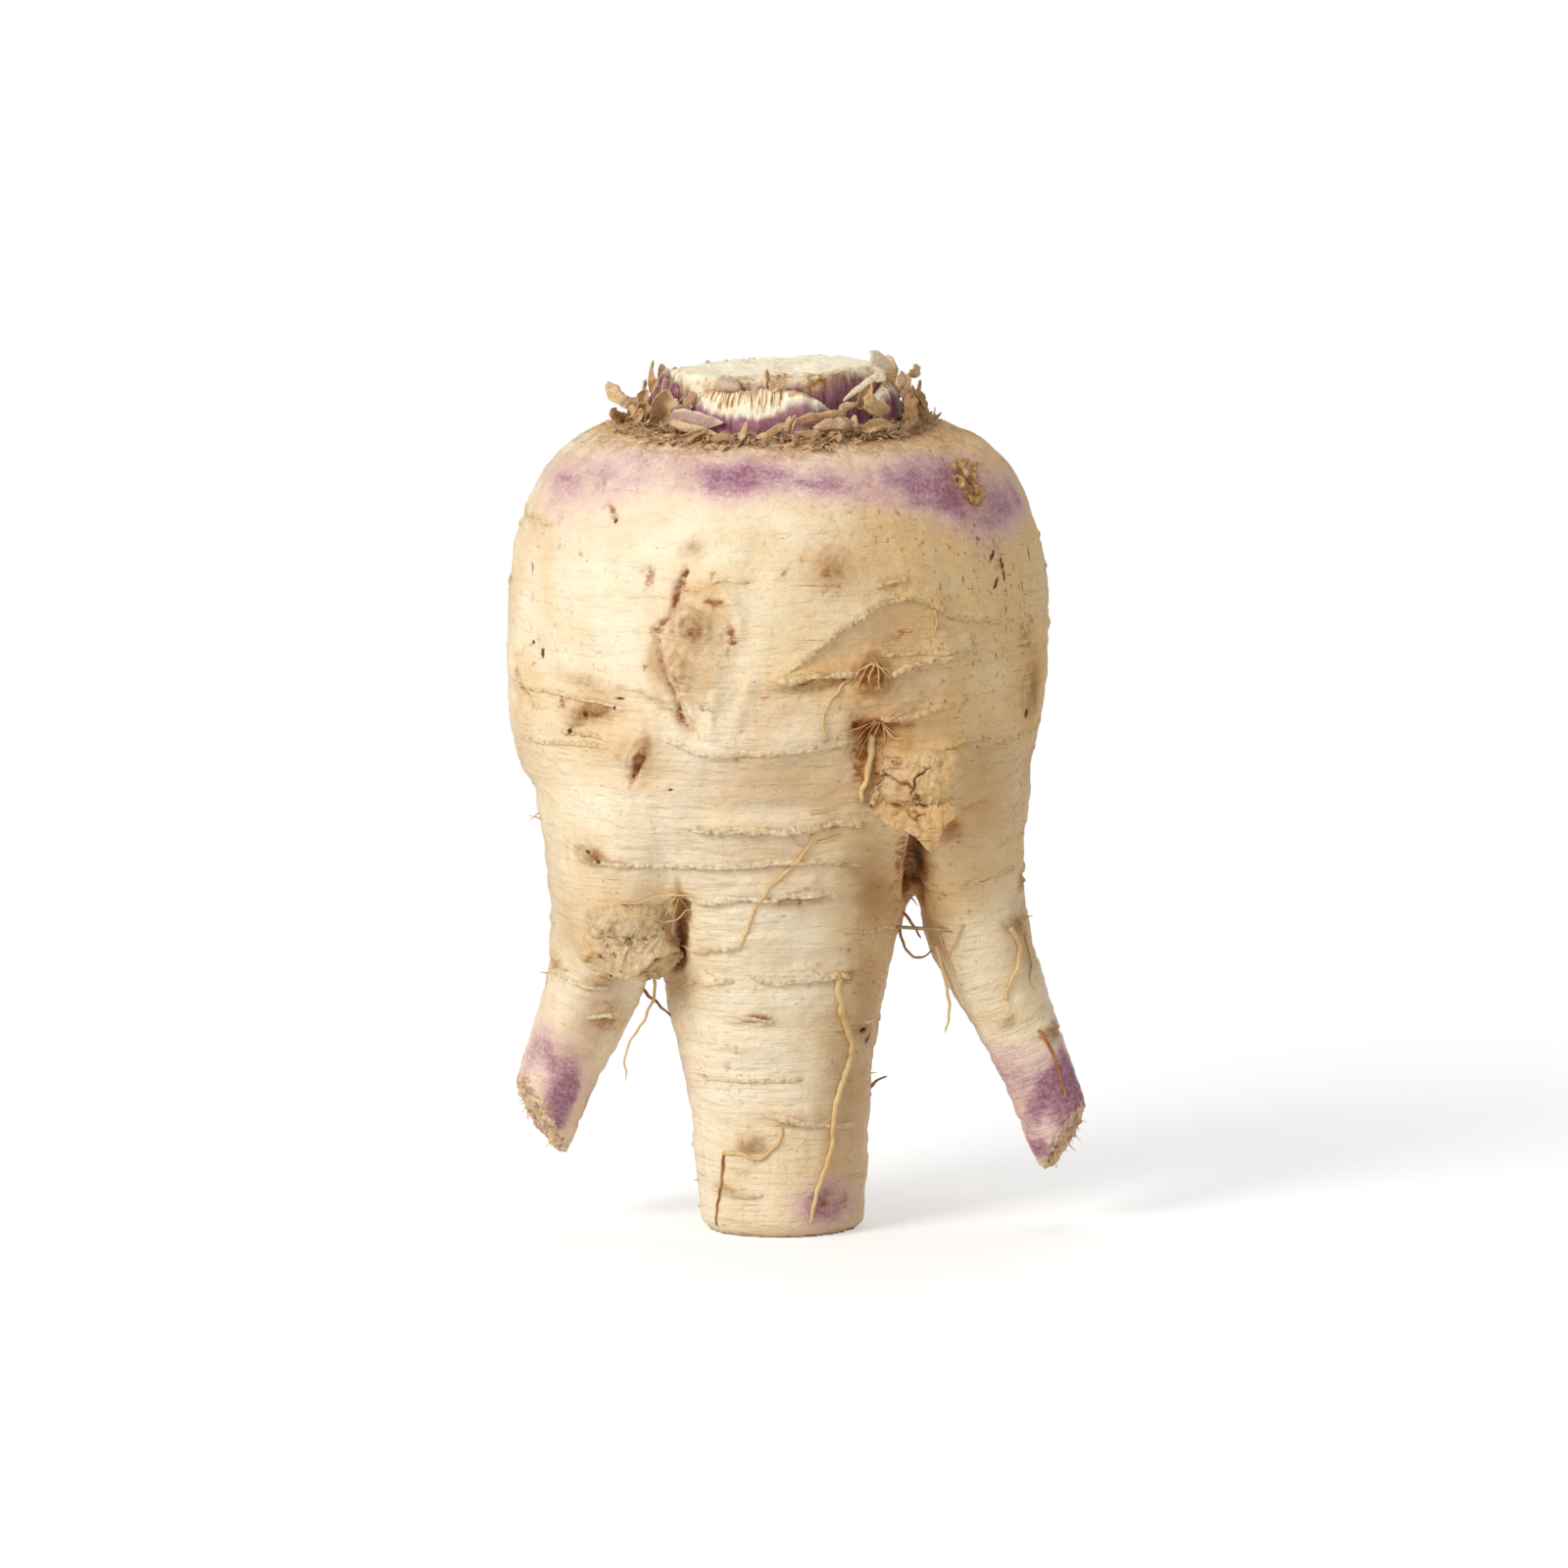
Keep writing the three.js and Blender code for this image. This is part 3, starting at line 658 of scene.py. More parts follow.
# Fine roots: node, thickness, whether they are brown: the places along them, which are across and height on
# the skin, or free points x, y, z.
ROOTS = read_routes(front="""
rootlet_taproot_long 1.1 0: 9.4 48, 9.7 44.3, 10.3 39.9, 11.8 34.8, 11.7 31.9, 9.6 25.8, 8.8 21.9, 8.5 15.9,
    6.6 10.5, 5.2 5.6, 4.7 1.9;
rootlet_belly .6 0: 6.4 76.4, 4 71.4, 2 68.9, -2.4 64.5, -4.7 60.7, -5.8 57, -7.5 52.4;
rootlet_hollow 1.15 0: 15.2 91.7, 15.1 88, 14.4 84.6, 13.3 82, 13.7 79.9;
rootlet_foot_brown .5 1: -10 15.2, -10.6 9.5, -11.3 4.4, -11.4 1.2;
rootlet_foot_curved .7 0: -10.2 14.8, -9 15.3, -3.8 14.2, -.4 17.4, 0 20.4;
rootlet_brow .45 0: 11.6 102.4, 9.8 100.9, 8.2 98.8, 7 96.4, 6.8 93.9, 8.1 91.1;
rootlet_right_knee .85 0: 39.5 54.4, 41 50.7, 40.7 47.7, 39.7 45.3, 39 43.2, 38.6 41;
rootlet_right_shin .5 1: 44.5 35.6, 46.6 32.3, 48 27.9, 49.3 23.1;
rootlet_right_loop .5 1: 20.6 -4 57.4, 20.3 -4.2 53, 21.2 -4.2 50, 22.9 -4 48, 24.4 -3.8 48, 26 -3.4 49.6;
rootlet_right_stray .5 1: 20.6 -6.4 57, 22.8 -6.8 54.2, 24.1 -7 51.8;
rootlet_right_hanging .6 0: 26.6 -8.4 51, 27.8 -8.6 46.6, 28.8 -8.4 42.6, 28.9 -8 38.4, 28.2 -7.8 35.4;
rootlet_left_hanging .5 0: -22.2 -10.8 48, -22.1 -10.4 42.6, -23.6 -10 38.6, -26.6 -9.6 34.2,
    -27.4 -9.2 30.4, -27.1 -9 27.2;
rootlet_left_strut .5 1: -24.2 -1.6 42.2, -22.2 -1.8 40.2, -20 -2 38, -18 -2 36.6;
rootlet_taproot_spike .5 1: 15.2 -.6 24.6, 16.6 -1 26, 18.2 -1.6 27
""", back="""
rootlet_back_long 1.1 0: -5 60, -3 52, -5 44, -2 34, -3 24, -1 15;
rootlet_back_belly .8 0: 16 86, 12 79, 13 72, 10 66; rootlet_back_foot .7 1: 3 30, 7 26, 8.6 20, 7.6 15;
rootlet_back_right_leg .7 0: -37.5 44, -39.5 37, -41.5 30, -43.6 24;
rootlet_back_left_leg .6 1: 31.5 46, 34 39, 36.5 32, 38.6 26
""", back_right="""
rootlet_back_right_side .7 0: 2 92, 6 85, 3 78, 5 72
""", back_left="""
rootlet_back_left_side .7 0: -2 84, -6 78, -3 71, -4 66
""")

# Single threads of bark fibre: thickness, how brown, how far the middle stands off: the places along it.
THREADS = read_routes(front="""
.42 .1 .5: -28 60.9, -25 61, -21.9 62.4, -18.9 62.7, -15.9 62.7, -13.4 62;
.4 .1 1.3: -28.4 60.9, -25 59.1, -20 57.6, -16.6 59.2, -14 60.6; .34 .3 .5: -18.2 62, -20 59, -21.5 55.7;
.34 .4 .3: -18.8 61.8, -21.3 58.8, -22.9 56.8; .32 .2 .2: -17.9 61.7, -18.6 58.9, -20.6 56.7;
.3 .5 .2: -18.4 61.8, -20.6 60.2, -23.4 59.4; .3 .6 .2: -17.6 61.6, -16.6 60, -15.8 59.6;
.4 .1 .1: -20.4 53.4, -18.8 52.6, -15 51.9; .5 .1 .2: 42.1 52.6, 43.1 47.1, 42.8 44.7, 43.8 42.1;
.32 .9 .2: 15.3 105.2, 13.6 102.7, 12.6 100.2; .32 .7 .3: 16 105, 16.3 102.2, 17 99.4;
.32 .8 .2: 14.6 104.7, 13.3 103.8, 11.6 101.1; .3 .5 .5: 15.6 105.2, 15 102.8, 15.2 100.6;
.3 .6 .4: 15.9 105.2, 17.6 103.2, 18.6 101.4; .34 .3 .4: 13 103.6, 15 104.8, 17.6 104, 18.6 102.6;
.3 .9 .2: 16.3 94.6, 13.7 92.6, 11.6 89.9; .3 1 .3: 16.5 94.4, 14.4 91.6, 12.4 87.4;
.28 .9 .3: 16.7 94.6, 16 92.4, 14 89.6; .3 1 .2: 17 94.4, 17.7 91.8, 16.7 89;
.28 .8 .4: 17.1 94.4, 18.4 92.8, 19.6 92.2; .34 .5 .5: 17.3 93.5, 19 91.5, 20.9 91.9, 20.6 89.9, 19.4 88.9;
.3 .9 .2: 15.8 94.8, 13 93.6, 10.4 93; .28 .9 .2: 16 94.5, 12.6 91.8, 9.8 88.4;
.3 .7 .1: 17.4 94.6, 20.6 96, 24.6 96.6; .26 .6 .1: 17.2 94.9, 20 97, 23.4 98;
.45 0 .2: 13.4 80.2, 12.2 80.9, 11 80.6; .4 .1 .2: 4.6 78.6, 7.7 79, 9.6 79.4;
.4 0 .2: 6.2 73, 8.7 73.8, 10 74.6; .42 0 .2: 26 113.6, 26.2 111.6, 26.1 109.6;
.36 .1 .1: 30.7 62.7, 34.1 63.7, 38.2 64.5, 39.2 65.3; .36 .1 .4: 1.4 75.8, 2 73.6, 3.4 72;
.3 .2 .3: 27.4 53.4, 28.6 49.6, 30.4 45; .3 .3 .2: 27.8 47.6, 31 40, 34.6 34.6;
.32 .7 .2: 31.4 55.6, 29.8 51.6, 29 48.8
""")

# Side roots too fine to follow the skin, standing off it: a point at their foot, the way they point, length.
SPIKES = read_table("""
-46.4 -4 71.4 -.8 -.3 .5 3
-45.6 -6 74 -.9 -.2 -.5 2.4
20.4 -4 60 .6 -.4 -.5 2.2
20.8 -5 62.2 .9 -.3 .1 1.8
-13.9 -4 9 -.9 -.2 .1 1.4
-13.6 -4 4.2 -.8 -.4 .3 1.2
-43 -6 46.4 -.9 -.3 .5 2
44.6 -5 56 .9 -.2 .5 1.8
15 4 26 .9 .3 .4 2.2
-14 8 40 -.8 .5 -.2 2.4
4 34 70 .2 .9 -.4 2.6
-20 34 88 -.3 .9 .3 2.4
30 26 74 .5 .8 -.4 2.2
-40 12 86 -.8 .5 -.4 2.2
""")


def colour(red, green, blue):
    """A colour as a screen shows it, 0 to 255, as the linear values that a shader takes."""
    def linear(value):
        value /= 255
        return value / 12.92 if value <= 0.04045 else ((value + 0.055) / 1.055) ** 2.4
    return (linear(red), linear(green), linear(blue), 1.0)


# ---------------------------------------------------------------- what a user may change
def colour_property(name, description, *shade):
    return FloatVectorProperty(
        name=name, description=description, subtype="COLOR", size=4, min=0, max=1, default=colour(*shade)
    )


def length_property(name, description, default, **limits):
    return FloatProperty(
        name=name, description=description, unit="LENGTH", subtype="DISTANCE", default=default, precision=5,
        **limits
    )


class ChicorySkinSettings(bpy.types.PropertyGroup):
    """Sizes and colours of the root's skin and bark."""

    quad: length_property("Mesh fineness", "Width of the skin's faces", 0.92 * MM, min=0.4 * MM, max=2 * MM)
    wrinkle: length_property("Wrinkle depth", "Depth of the root's rings", 0.24 * MM, min=0, max=1 * MM)
    pale: colour_property("Pale skin", "The lightest skin", 254, 241, 212)
    cream: colour_property("Cream skin", "The common skin", 238, 200, 138)
    tan: colour_property("Tan skin", "Corky skin and the rims of tears", 211, 167, 106)
    wash: colour_property("Yellow wash", "Soft yellow-tan round knots and scars", 226, 180, 108)
    rust: colour_property("Rust", "Stains round scars", 160, 92, 34)
    # Also the colour of the deepest painted shade, in creases and the crevice.
    dark: colour_property("Dark pits", "The bottoms of pits and slits", 66, 44, 28)
    lilac: colour_property("Lilac", "The thin violet of the shoulder", 224, 184, 184)
    violet: colour_property("Violet", "The strong violet of the shoulder and tips", 150, 88, 118)
    # Painted shade: the darker, duller colour laid where shade falls, and on a few dark knots.
    dusk: colour_property("Dusk", "The dullest, darkest skin", 172, 120, 62)
    bark: colour_property("Bark", "Dry bark that has come away", 206, 172, 124)


class ChicoryCrownSettings(bpy.types.PropertyGroup):
    """Sizes and colours of the cut crown and what grows round it."""

    flesh: colour_property("Cut flesh", "The pale cut face", 252, 243, 218)
    spot: colour_property("Sap spots", "Yellow-brown spots in cut faces", 176, 122, 44)
    stalk: colour_property("Stalk skin", "The glossy skin of the cut stalks", 124, 50, 80)
    scale: colour_property("Dry scale", "Dry leaf scales", 230, 192, 144)
    fibre: colour_property("Fine roots", "Fine roots and fibres", 226, 198, 144)
    crumb: colour_property("Crumbs", "Crumbs of soil and scale", 162, 118, 82)
    crumbs: IntProperty(
        name="Crumbs", description="How many crumbs lie round the crown", default=1800, min=0, max=2000
    )


class ChicoryStageSettings(bpy.types.PropertyGroup):
    """The floor, the lamps and the camera."""

    floor: colour_property("Floor", "The colour of the floor", 235, 235, 235)
    key: FloatProperty(name="Key lamp", description="Power of the lamp at the left", default=16.4, min=0)
    fill: FloatProperty(name="Fill lamp", description="Power of the lamp at the right", default=2.5, min=0)
    top: FloatProperty(name="Top lamp", description="Power of the lamp overhead", default=4.4, min=0)
    sky: FloatProperty(name="Sky", description="Strength of the light from all round", default=0.34, min=0)
    rise: FloatProperty(
        name="Camera rise", description="Angle of the camera above level", subtype="ANGLE",
        default=math.radians(9), min=0, max=math.radians(80),
    )
    distance: length_property("Camera distance", "From the camera to the root's middle", 2.266, min=0.3)
    lens: FloatProperty(name="Lens", description="Focal length in millimetres", default=300, min=20)


# ---------------------------------------------------------------- numbers: fades and noise
def fade(low, high, value):
    """0 below low, 1 above high, and smooth between; low may be the larger."""
    t = np.clip((value - low) / (high - low), 0, 1)
    return t * t * (3 - 2 * t)


def lattice(cells, seed):
    """A repeatable random number from -1 to 1 for each whole-number cell."""
    x, y, z = (cells[:, k].astype(np.uint32) for k in range(3))
    h = x * np.uint32(0x8DA6B343) ^ y * np.uint32(0xD8163841) ^ z * np.uint32(0xCB1AB31F)
    h ^= np.uint32((seed * 0x9E3779B1 + 0x7F4A7C15) & 0xFFFFFFFF)
    for shift, factor in ((15, 0x2C1B3C6D), (12, 0x297A2D39), (15, 0x85EBCA6B)):
        h ^= h >> np.uint32(shift)
        h *= np.uint32(factor)
    return h.astype(np.float64) / 2**31 - 1


def noise(points, size, seed=0):
    """Smooth noise from about -1 to 1; size is that of its patches, one number or one for each axis."""
    places = np.asarray(points, float) / np.asarray(size, float)
    cells = np.floor(places).astype(np.int64)
    t = places - cells
    smooth = t * t * t * (t * (t * 6 - 15) + 10)
    total = np.zeros(len(places))
    for corner in np.ndindex(2, 2, 2):
        off = t - corner
        share = np.prod(np.where(corner, smooth, 1 - smooth), axis=1)
        slope = sum(off[:, k] * lattice(cells + corner, seed * 3 + k) for k in range(3))
        total += share * slope
    return np.clip(1.9 * total, -1.2, 1.2)


def fractal(points, size, octaves=3, seed=0):
    """Noise with finer and weaker noise on it."""
    size = np.asarray(size, float)
    return sum(noise(points, size / 2**k, seed + 17 * k) / 2**k for k in range(octaves)) / 1.6


def bell(value):
    """1 at 0 and falling away on both sides."""
    return np.exp(-(value**2))


def inside_ends(place, share):
    """1 along a path, easing to 0 over this share of it at both ends."""
    return fade(0, share, place) * fade(1, 1 - share, place)


def beside(*parts):
    """The parts side by side, as the columns of one table; a single number fills its column."""
    return np.stack(np.broadcast_arrays(*parts), axis=1)


def unit(way):
    """The direction of a way, or of each of its rows, one long."""
    way = np.asarray(way, float)
    return way / np.linalg.norm(way, axis=-1, keepdims=True)


def side_axes(turn):
    """The outward and the sideways directions of the side that has this turn, in degrees."""
    a = math.radians(turn)
    return np.array([math.sin(a), -math.cos(a), 0]), np.array([math.cos(a), math.sin(a), 0])


def seen_from(turn, points, normals):
    """Each point as seen from a side: how far across and how high, and how well that side sees it."""
    out, across = side_axes(turn)
    return beside(points @ across, points[:, 2]), fade(0.05, 0.4, normals @ out)


def spot(flat, across, height, half_width, half_height, turn):
    """1 in the middle of an oval spot and falling away round it, as a bell does."""
    a = math.radians(turn)
    du, dv = flat[:, 0] - across, flat[:, 1] - height
    u, v = du * math.cos(a) + dv * math.sin(a), -du * math.sin(a) + dv * math.cos(a)
    return np.exp(-np.clip((u / half_width) ** 2 + (v / half_height) ** 2, 0, 40))


def from_path(flat, path):
    """For each point: its distance from a path, its place along it from 0 to 1, and 1 or -1 for its side."""
    path = np.asarray(path, float)
    best, place, side = np.full(len(flat), 1e9), np.zeros(len(flat)), np.ones(len(flat))
    start = 0.0
    for a, b in zip(path, path[1:]):
        step = b - a
        long = math.hypot(*step)
        t = np.clip((flat - a) @ step / long**2, 0, 1)
        off = flat - a - t[:, None] * step
        gap = np.hypot(off[:, 0], off[:, 1])
        nearer = gap < best
        best = np.where(nearer, gap, best)
        place = np.where(nearer, start + t * long, place)
        side = np.where(nearer, np.sign(step[0] * off[:, 1] - step[1] * off[:, 0]), side)
        start += long
    return best, place / start, side


def leg_share(points, leg, sign):
    """How far a point belongs to a leg, from 0 to 1."""
    top = np.array(leg["top"])
    return fade(top[2] + 4, top[2] - 14, points[:, 2]) * fade(15.5, 21.0, sign * points[:, 0])


def grain(points):
    """Places in which the third number runs along each leg, so that rings lie square across it."""
    height = points[:, 2].copy()
    for leg, sign in ((LEFT_LEG, -1), (RIGHT_LEG, 1)):
        top, tip = np.array(leg["top"]), np.array(leg["tip"])
        along = unit(tip - top)
        down = (points - top) @ along
        share = leg_share(points, leg, sign)
        height = (1 - share) * height + share * (top[2] - down)
    return beside(points[:, 0], points[:, 1], height)


# ---------------------------------------------------------------- meshes and modifiers
def settings():
    return bpy.context.scene.chicory_skin, bpy.context.scene.chicory_crown, bpy.context.scene.chicory_stage


def only(piece):
    """Selects one object and nothing else, and makes it the active one."""
    bpy.ops.object.select_all(action="DESELECT")
    piece.select_set(True)
    bpy.context.view_layer.objects.active = piece


def finish_with(piece, kind, **values):
    """Adds a modifier and applies it."""
    only(piece)
    modifier = piece.modifiers.new(kind.title(), kind)
    for name, value in values.items():
        setattr(modifier, name, value)
    bpy.ops.object.modifier_apply(modifier=modifier.name)


def points_of(piece):
    """A piece's points in millimetres."""
    flat = np.empty(len(piece.data.vertices) * 3, np.float32)
    piece.data.vertices.foreach_get("co", flat)
    return flat.reshape(-1, 3).astype(float) / MM


def put_points(piece, points):
    piece.data.vertices.foreach_set("co", (np.asarray(points) * MM).astype(np.float32).ravel())
    piece.data.update()


def normals_of(piece):
    flat = np.empty(len(piece.data.vertices) * 3, np.float32)
    piece.data.vertices.foreach_get("normal", flat)
    return flat.reshape(-1, 3).astype(float)


def put_mask(piece, name, values, highest=1.0):
    """Writes a number for each point, which a material reads by this name."""
    layer = piece.data.attributes.get(name) or piece.data.attributes.new(name, "FLOAT", "POINT")
    layer.data.foreach_set("value", np.clip(values, 0, highest).astype(np.float32))


def put_vector(piece, name, places):
    """Writes places in millimetres as a vector attribute that a material reads."""
    layer = piece.data.attributes.new(name, "FLOAT_VECTOR", "POINT")
    layer.data.foreach_set("vector", (np.asarray(places) * MM).astype(np.float32).ravel())


def new_mesh(name, points, faces):
    """A new object from points in millimetres and lists of corners."""
    mesh = bpy.data.meshes.new(name)
    mesh.from_pydata((np.asarray(points) * MM).tolist(), [], faces)
    piece = bpy.data.objects.new(name, mesh)
    bpy.context.scene.collection.objects.link(piece)
    only(piece)
    bpy.ops.object.shade_smooth()
    return piece


class Heap:
    """Small shapes gathered into one mesh, with a number for each of their points."""

    def __init__(self):
        self.points, self.faces, self.shades = [], [], []

    def add(self, points, faces, shade):
        start = sum(len(p) for p in self.points)
        self.points.append(points)
        self.faces += [tuple(start + c for c in face) for face in faces]
        self.shades.append(np.full(len(points), shade))

    def piece(self, name, mask):
        piece = new_mesh(name, np.concatenate(self.points), self.faces)
        put_mask(piece, mask, np.concatenate(self.shades))
        return piece


def dress(piece, material, slot, *nodes):
    """Gives a finished piece its material and body and hides the CAD nodes it stands for; slot is not used.
    """
    piece.data.materials.clear()
    piece.data.materials.append(material)
    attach(piece, BODY)
    if nodes:
        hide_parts(*nodes)
    return piece


def surface_of(piece):
    """A tree that finds where a line meets a piece, in millimetres."""
    polygons = [tuple(face.vertices) for face in piece.data.polygons]
    return BVHTree.FromPolygons([Vector(p) for p in points_of(piece)], polygons)


def on_skin(tree, turn, across, height):
    """The place on the skin, and its normal, that a side shows at this place across and height."""
    out, side = side_axes(turn)
    start = Vector(side * across + out * 150 + np.array([0, 0, height]))
    place, normal, _, _ = tree.ray_cast(start, Vector(-out))
    if place is None:
        raise ValueError(f"no skin at {across}, {height} as seen from {turn}")
    return np.array(place), np.array(normal)


def smooth_path(path, step):
    """A path through the given places with a point about every step, rounded at its corners."""
    path = np.asarray(path, float)
    gaps = np.linalg.norm(np.diff(path, axis=0), axis=1)
    knots = np.concatenate([[0], np.cumsum(gaps)])
    count = max(4, int(knots[-1] / step))
    where = np.linspace(0, knots[-1], count + 1)
    dense = np.stack([np.interp(where, knots, path[:, k]) for k in range(path.shape[1])], axis=1)
    rounds = int(np.clip(0.35 * gaps.mean() / step, 1, 40))
    for _ in range(rounds):
        dense[1:-1] = 0.25 * dense[:-2] + 0.5 * dense[1:-1] + 0.25 * dense[2:]
    return dense


def strip_faces(rows, columns, closed=False):
    """The corners of the faces of a grid of points, row by row."""
    faces = []
    around = columns if closed else columns - 1
    for i in range(rows - 1):
        for j in range(around):
            a, b = i * columns + j, i * columns + (j + 1) % columns
            faces.append((a, b, b + columns, a + columns))
    return faces


# ---------------------------------------------------------------- shader nodes
class Nodes:
    """Builds one node tree: each call adds a node and gives back what it puts out."""

    def __init__(self, tree):
        self.tree = tree

    def add(self, kind, inputs=None, **values):
        """A new node with its values set and its inputs set or joined."""
        node = self.tree.nodes.new(kind)
        for name, value in values.items():
            setattr(node, name, value)
        for key, value in (inputs or {}).items():
            if isinstance(value, bpy.types.NodeSocket):
                self.tree.links.new(value, node.inputs[key])
            else:
                node.inputs[key].default_value = value
        return node

    def maths(self, operation, a, b, clamp=False):
        return self.add("ShaderNodeMath", {0: a, 1: b}, operation=operation, use_clamp=clamp).outputs[0]

    def times(self, a, b, clamp=False):
        return self.maths("MULTIPLY", a, b, clamp)

    def plus(self, a, b, clamp=False):
        return self.maths("ADD", a, b, clamp)

    def most(self, a, b, clamp=False):
        return self.maths("MAXIMUM", a, b, clamp)

    def part(self, value, share, rest, clamp=False):
        """A share of the value, plus the rest."""
        return self.plus(self.times(value, share), rest, clamp)

    def ramp(self, value, low, high, start=0.0, end=1.0):
        """start below low, end above high, and smooth between."""
        return self.add("ShaderNodeMapRange", {0: value, 1: low, 2: high, 3: start, 4: end},
                        interpolation_type="SMOOTHSTEP").outputs[0]

    def mix(self, factor, a, b):
        return self.add("ShaderNodeMix", {0: factor, 6: a, 7: b}, data_type="RGBA").outputs[2]

    def points(self):
        return self.add("ShaderNodeTexCoord").outputs["Object"]

    def mask(self, name):
        return self.add("ShaderNodeAttribute", attribute_name=name).outputs["Fac"]

    def vector(self, name):
        return self.add("ShaderNodeAttribute", attribute_name=name).outputs["Vector"]

    def noise(self, vector, scale, detail=4.0, rough=0.55, warp=0.0):
        return self.add("ShaderNodeTexNoise", {"Vector": vector, "Scale": scale, "Detail": detail,
                                               "Roughness": rough, "Distortion": warp}).outputs[0]

    def shift(self, operation, a, b):
        return self.add("ShaderNodeVectorMath", {0: a, 1: b}, operation=operation).outputs[0]

    def shared(self, kind, vector, stretch, **values):
        """A shared node group with these values; its vector may be stretched first."""
        if stretch:
            vector = self.add("ShaderNodeMapping", {"Vector": vector, "Scale": stretch}).outputs[0]
        node = self.add("ShaderNodeGroup", node_tree=group_named(kind))
        self.tree.links.new(vector, node.inputs["Vector"])
        for key, value in values.items():
            node.inputs[key].default_value = value
        return node.outputs

    def mottle(self, vector, scale, low=0.4, high=0.65, stretch=None):
        return self.shared("mottle", vector, stretch, Scale=scale, Low=low, High=high)

    def streaks(self, vector, length, fineness, low=0.42, high=0.62, stretch=None):
        return self.shared("streaks", vector, stretch, Length=length, Fineness=fineness, Low=low, High=high)

    def specks(self, vector, scale, size, amount, stretch=None):
        return self.shared("specks", vector, stretch, Scale=scale, Size=size, Amount=amount)["Mask"]

    def finish(self, base, rough, specular, subsurface, *layers):
        """Joins the colour, the roughness and the bumps to the shader. Each layer is a height and its depth
        in millimetres; subsurface is its weight, its three reaches and its scale in millimetres."""
        shader = self.tree.nodes["Principled BSDF"]
        self.tree.links.new(base, shader.inputs["Base Color"])
        self.tree.links.new(rough, shader.inputs["Roughness"])
        shader.inputs["Specular IOR Level"].default_value = specular
        if subsurface:
            weight, reaches, scale = subsurface
            shader.inputs["Subsurface Weight"].default_value = weight
            shader.inputs["Subsurface Radius"].default_value = reaches
            shader.inputs["Subsurface Scale"].default_value = scale * MM
        normal = None
        for height, depth in layers:
            inputs = {"Height": height, "Distance": depth * MM, "Strength": 1.0}
            if normal is not None:
                inputs["Normal"] = normal
            normal = self.add("ShaderNodeBump", inputs).outputs[0]
        self.tree.links.new(normal, shader.inputs["Normal"])


def new_group(name, sockets, outputs):
    """A new node group with a Vector, these number sockets and these outputs: its builder and its inputs."""
    tree = bpy.data.node_groups.new(name, "ShaderNodeTree")
    tree.interface.new_socket("Vector", in_out="INPUT", socket_type="NodeSocketVector")
    for label, value in sockets.items():
        tree.interface.new_socket(label, in_out="INPUT", socket_type="NodeSocketFloat").default_value = value
    for label in outputs:
        tree.interface.new_socket(label, in_out="OUTPUT", socket_type="NodeSocketFloat")
    nodes = Nodes(tree)
    return nodes, nodes.add("NodeGroupInput").outputs


def streak_group():
    """Fine lines that run one way: thin along the vector's third number, long the other ways."""
    nodes, given = new_group("Fine streaks", {"Length": 90.0, "Fineness": 900.0, "Low": 0.42, "High": 0.62},
                             ("Mask", "Height"))
    scales = {0: given["Length"], 1: given["Length"], 2: given["Fineness"]}
    scale = nodes.add("ShaderNodeCombineXYZ", scales).outputs[0]
    height = nodes.noise(nodes.shift("MULTIPLY", given["Vector"], scale), 1.0, 2.6, 0.5, 0.35)
    nodes.add("NodeGroupOutput", {"Mask": nodes.ramp(height, given["Low"], given["High"]), "Height": height})
    return nodes.tree


def mottle_group():
    """Soft patches broken up by finer ones."""
    nodes, given = new_group("Mottle", {"Scale": 120.0, "Low": 0.4, "High": 0.65}, ("Mask", "Height"))
    height = nodes.noise(given["Vector"], given["Scale"], 6.0, 0.62)
    nodes.add("NodeGroupOutput", {"Mask": nodes.ramp(height, given["Low"], given["High"]), "Height": height})
    return nodes.tree


def speck_group():
    """Small scattered specks; Amount is the share of cells that hold one."""
    nodes, given = new_group("Specks", {"Scale": 400.0, "Size": 0.22, "Amount": 0.2}, ("Mask",))
    cells = nodes.add("ShaderNodeTexVoronoi", {"Vector": given["Vector"], "Scale": given["Scale"]})
    chance = nodes.add("ShaderNodeSeparateColor", {0: cells.outputs["Color"]}).outputs[0]
    round_spot = nodes.ramp(cells.outputs["Distance"], given["Size"], nodes.times(given["Size"], 0.5))
    chosen = nodes.maths("LESS_THAN", chance, given["Amount"])
    nodes.add("NodeGroupOutput", {"Mask": nodes.times(round_spot, chosen)})
    return nodes.tree


# Filled as the operators run: node groups and materials by name, and the pits' places on the finished skin.
GROUPS, MATERIALS, PIT_PLACES = {}, {}, {}


def group_named(kind):
    """The shared node group of this kind, built the first time that it is asked for."""
    if kind not in GROUPS:
        GROUPS[kind] = {"streaks": streak_group, "mottle": mottle_group, "specks": speck_group}[kind]()
    return GROUPS[kind]


def new_material(name):
    material = bpy.data.materials.new(name)
    material.use_nodes = True
    return material, Nodes(material.node_tree)


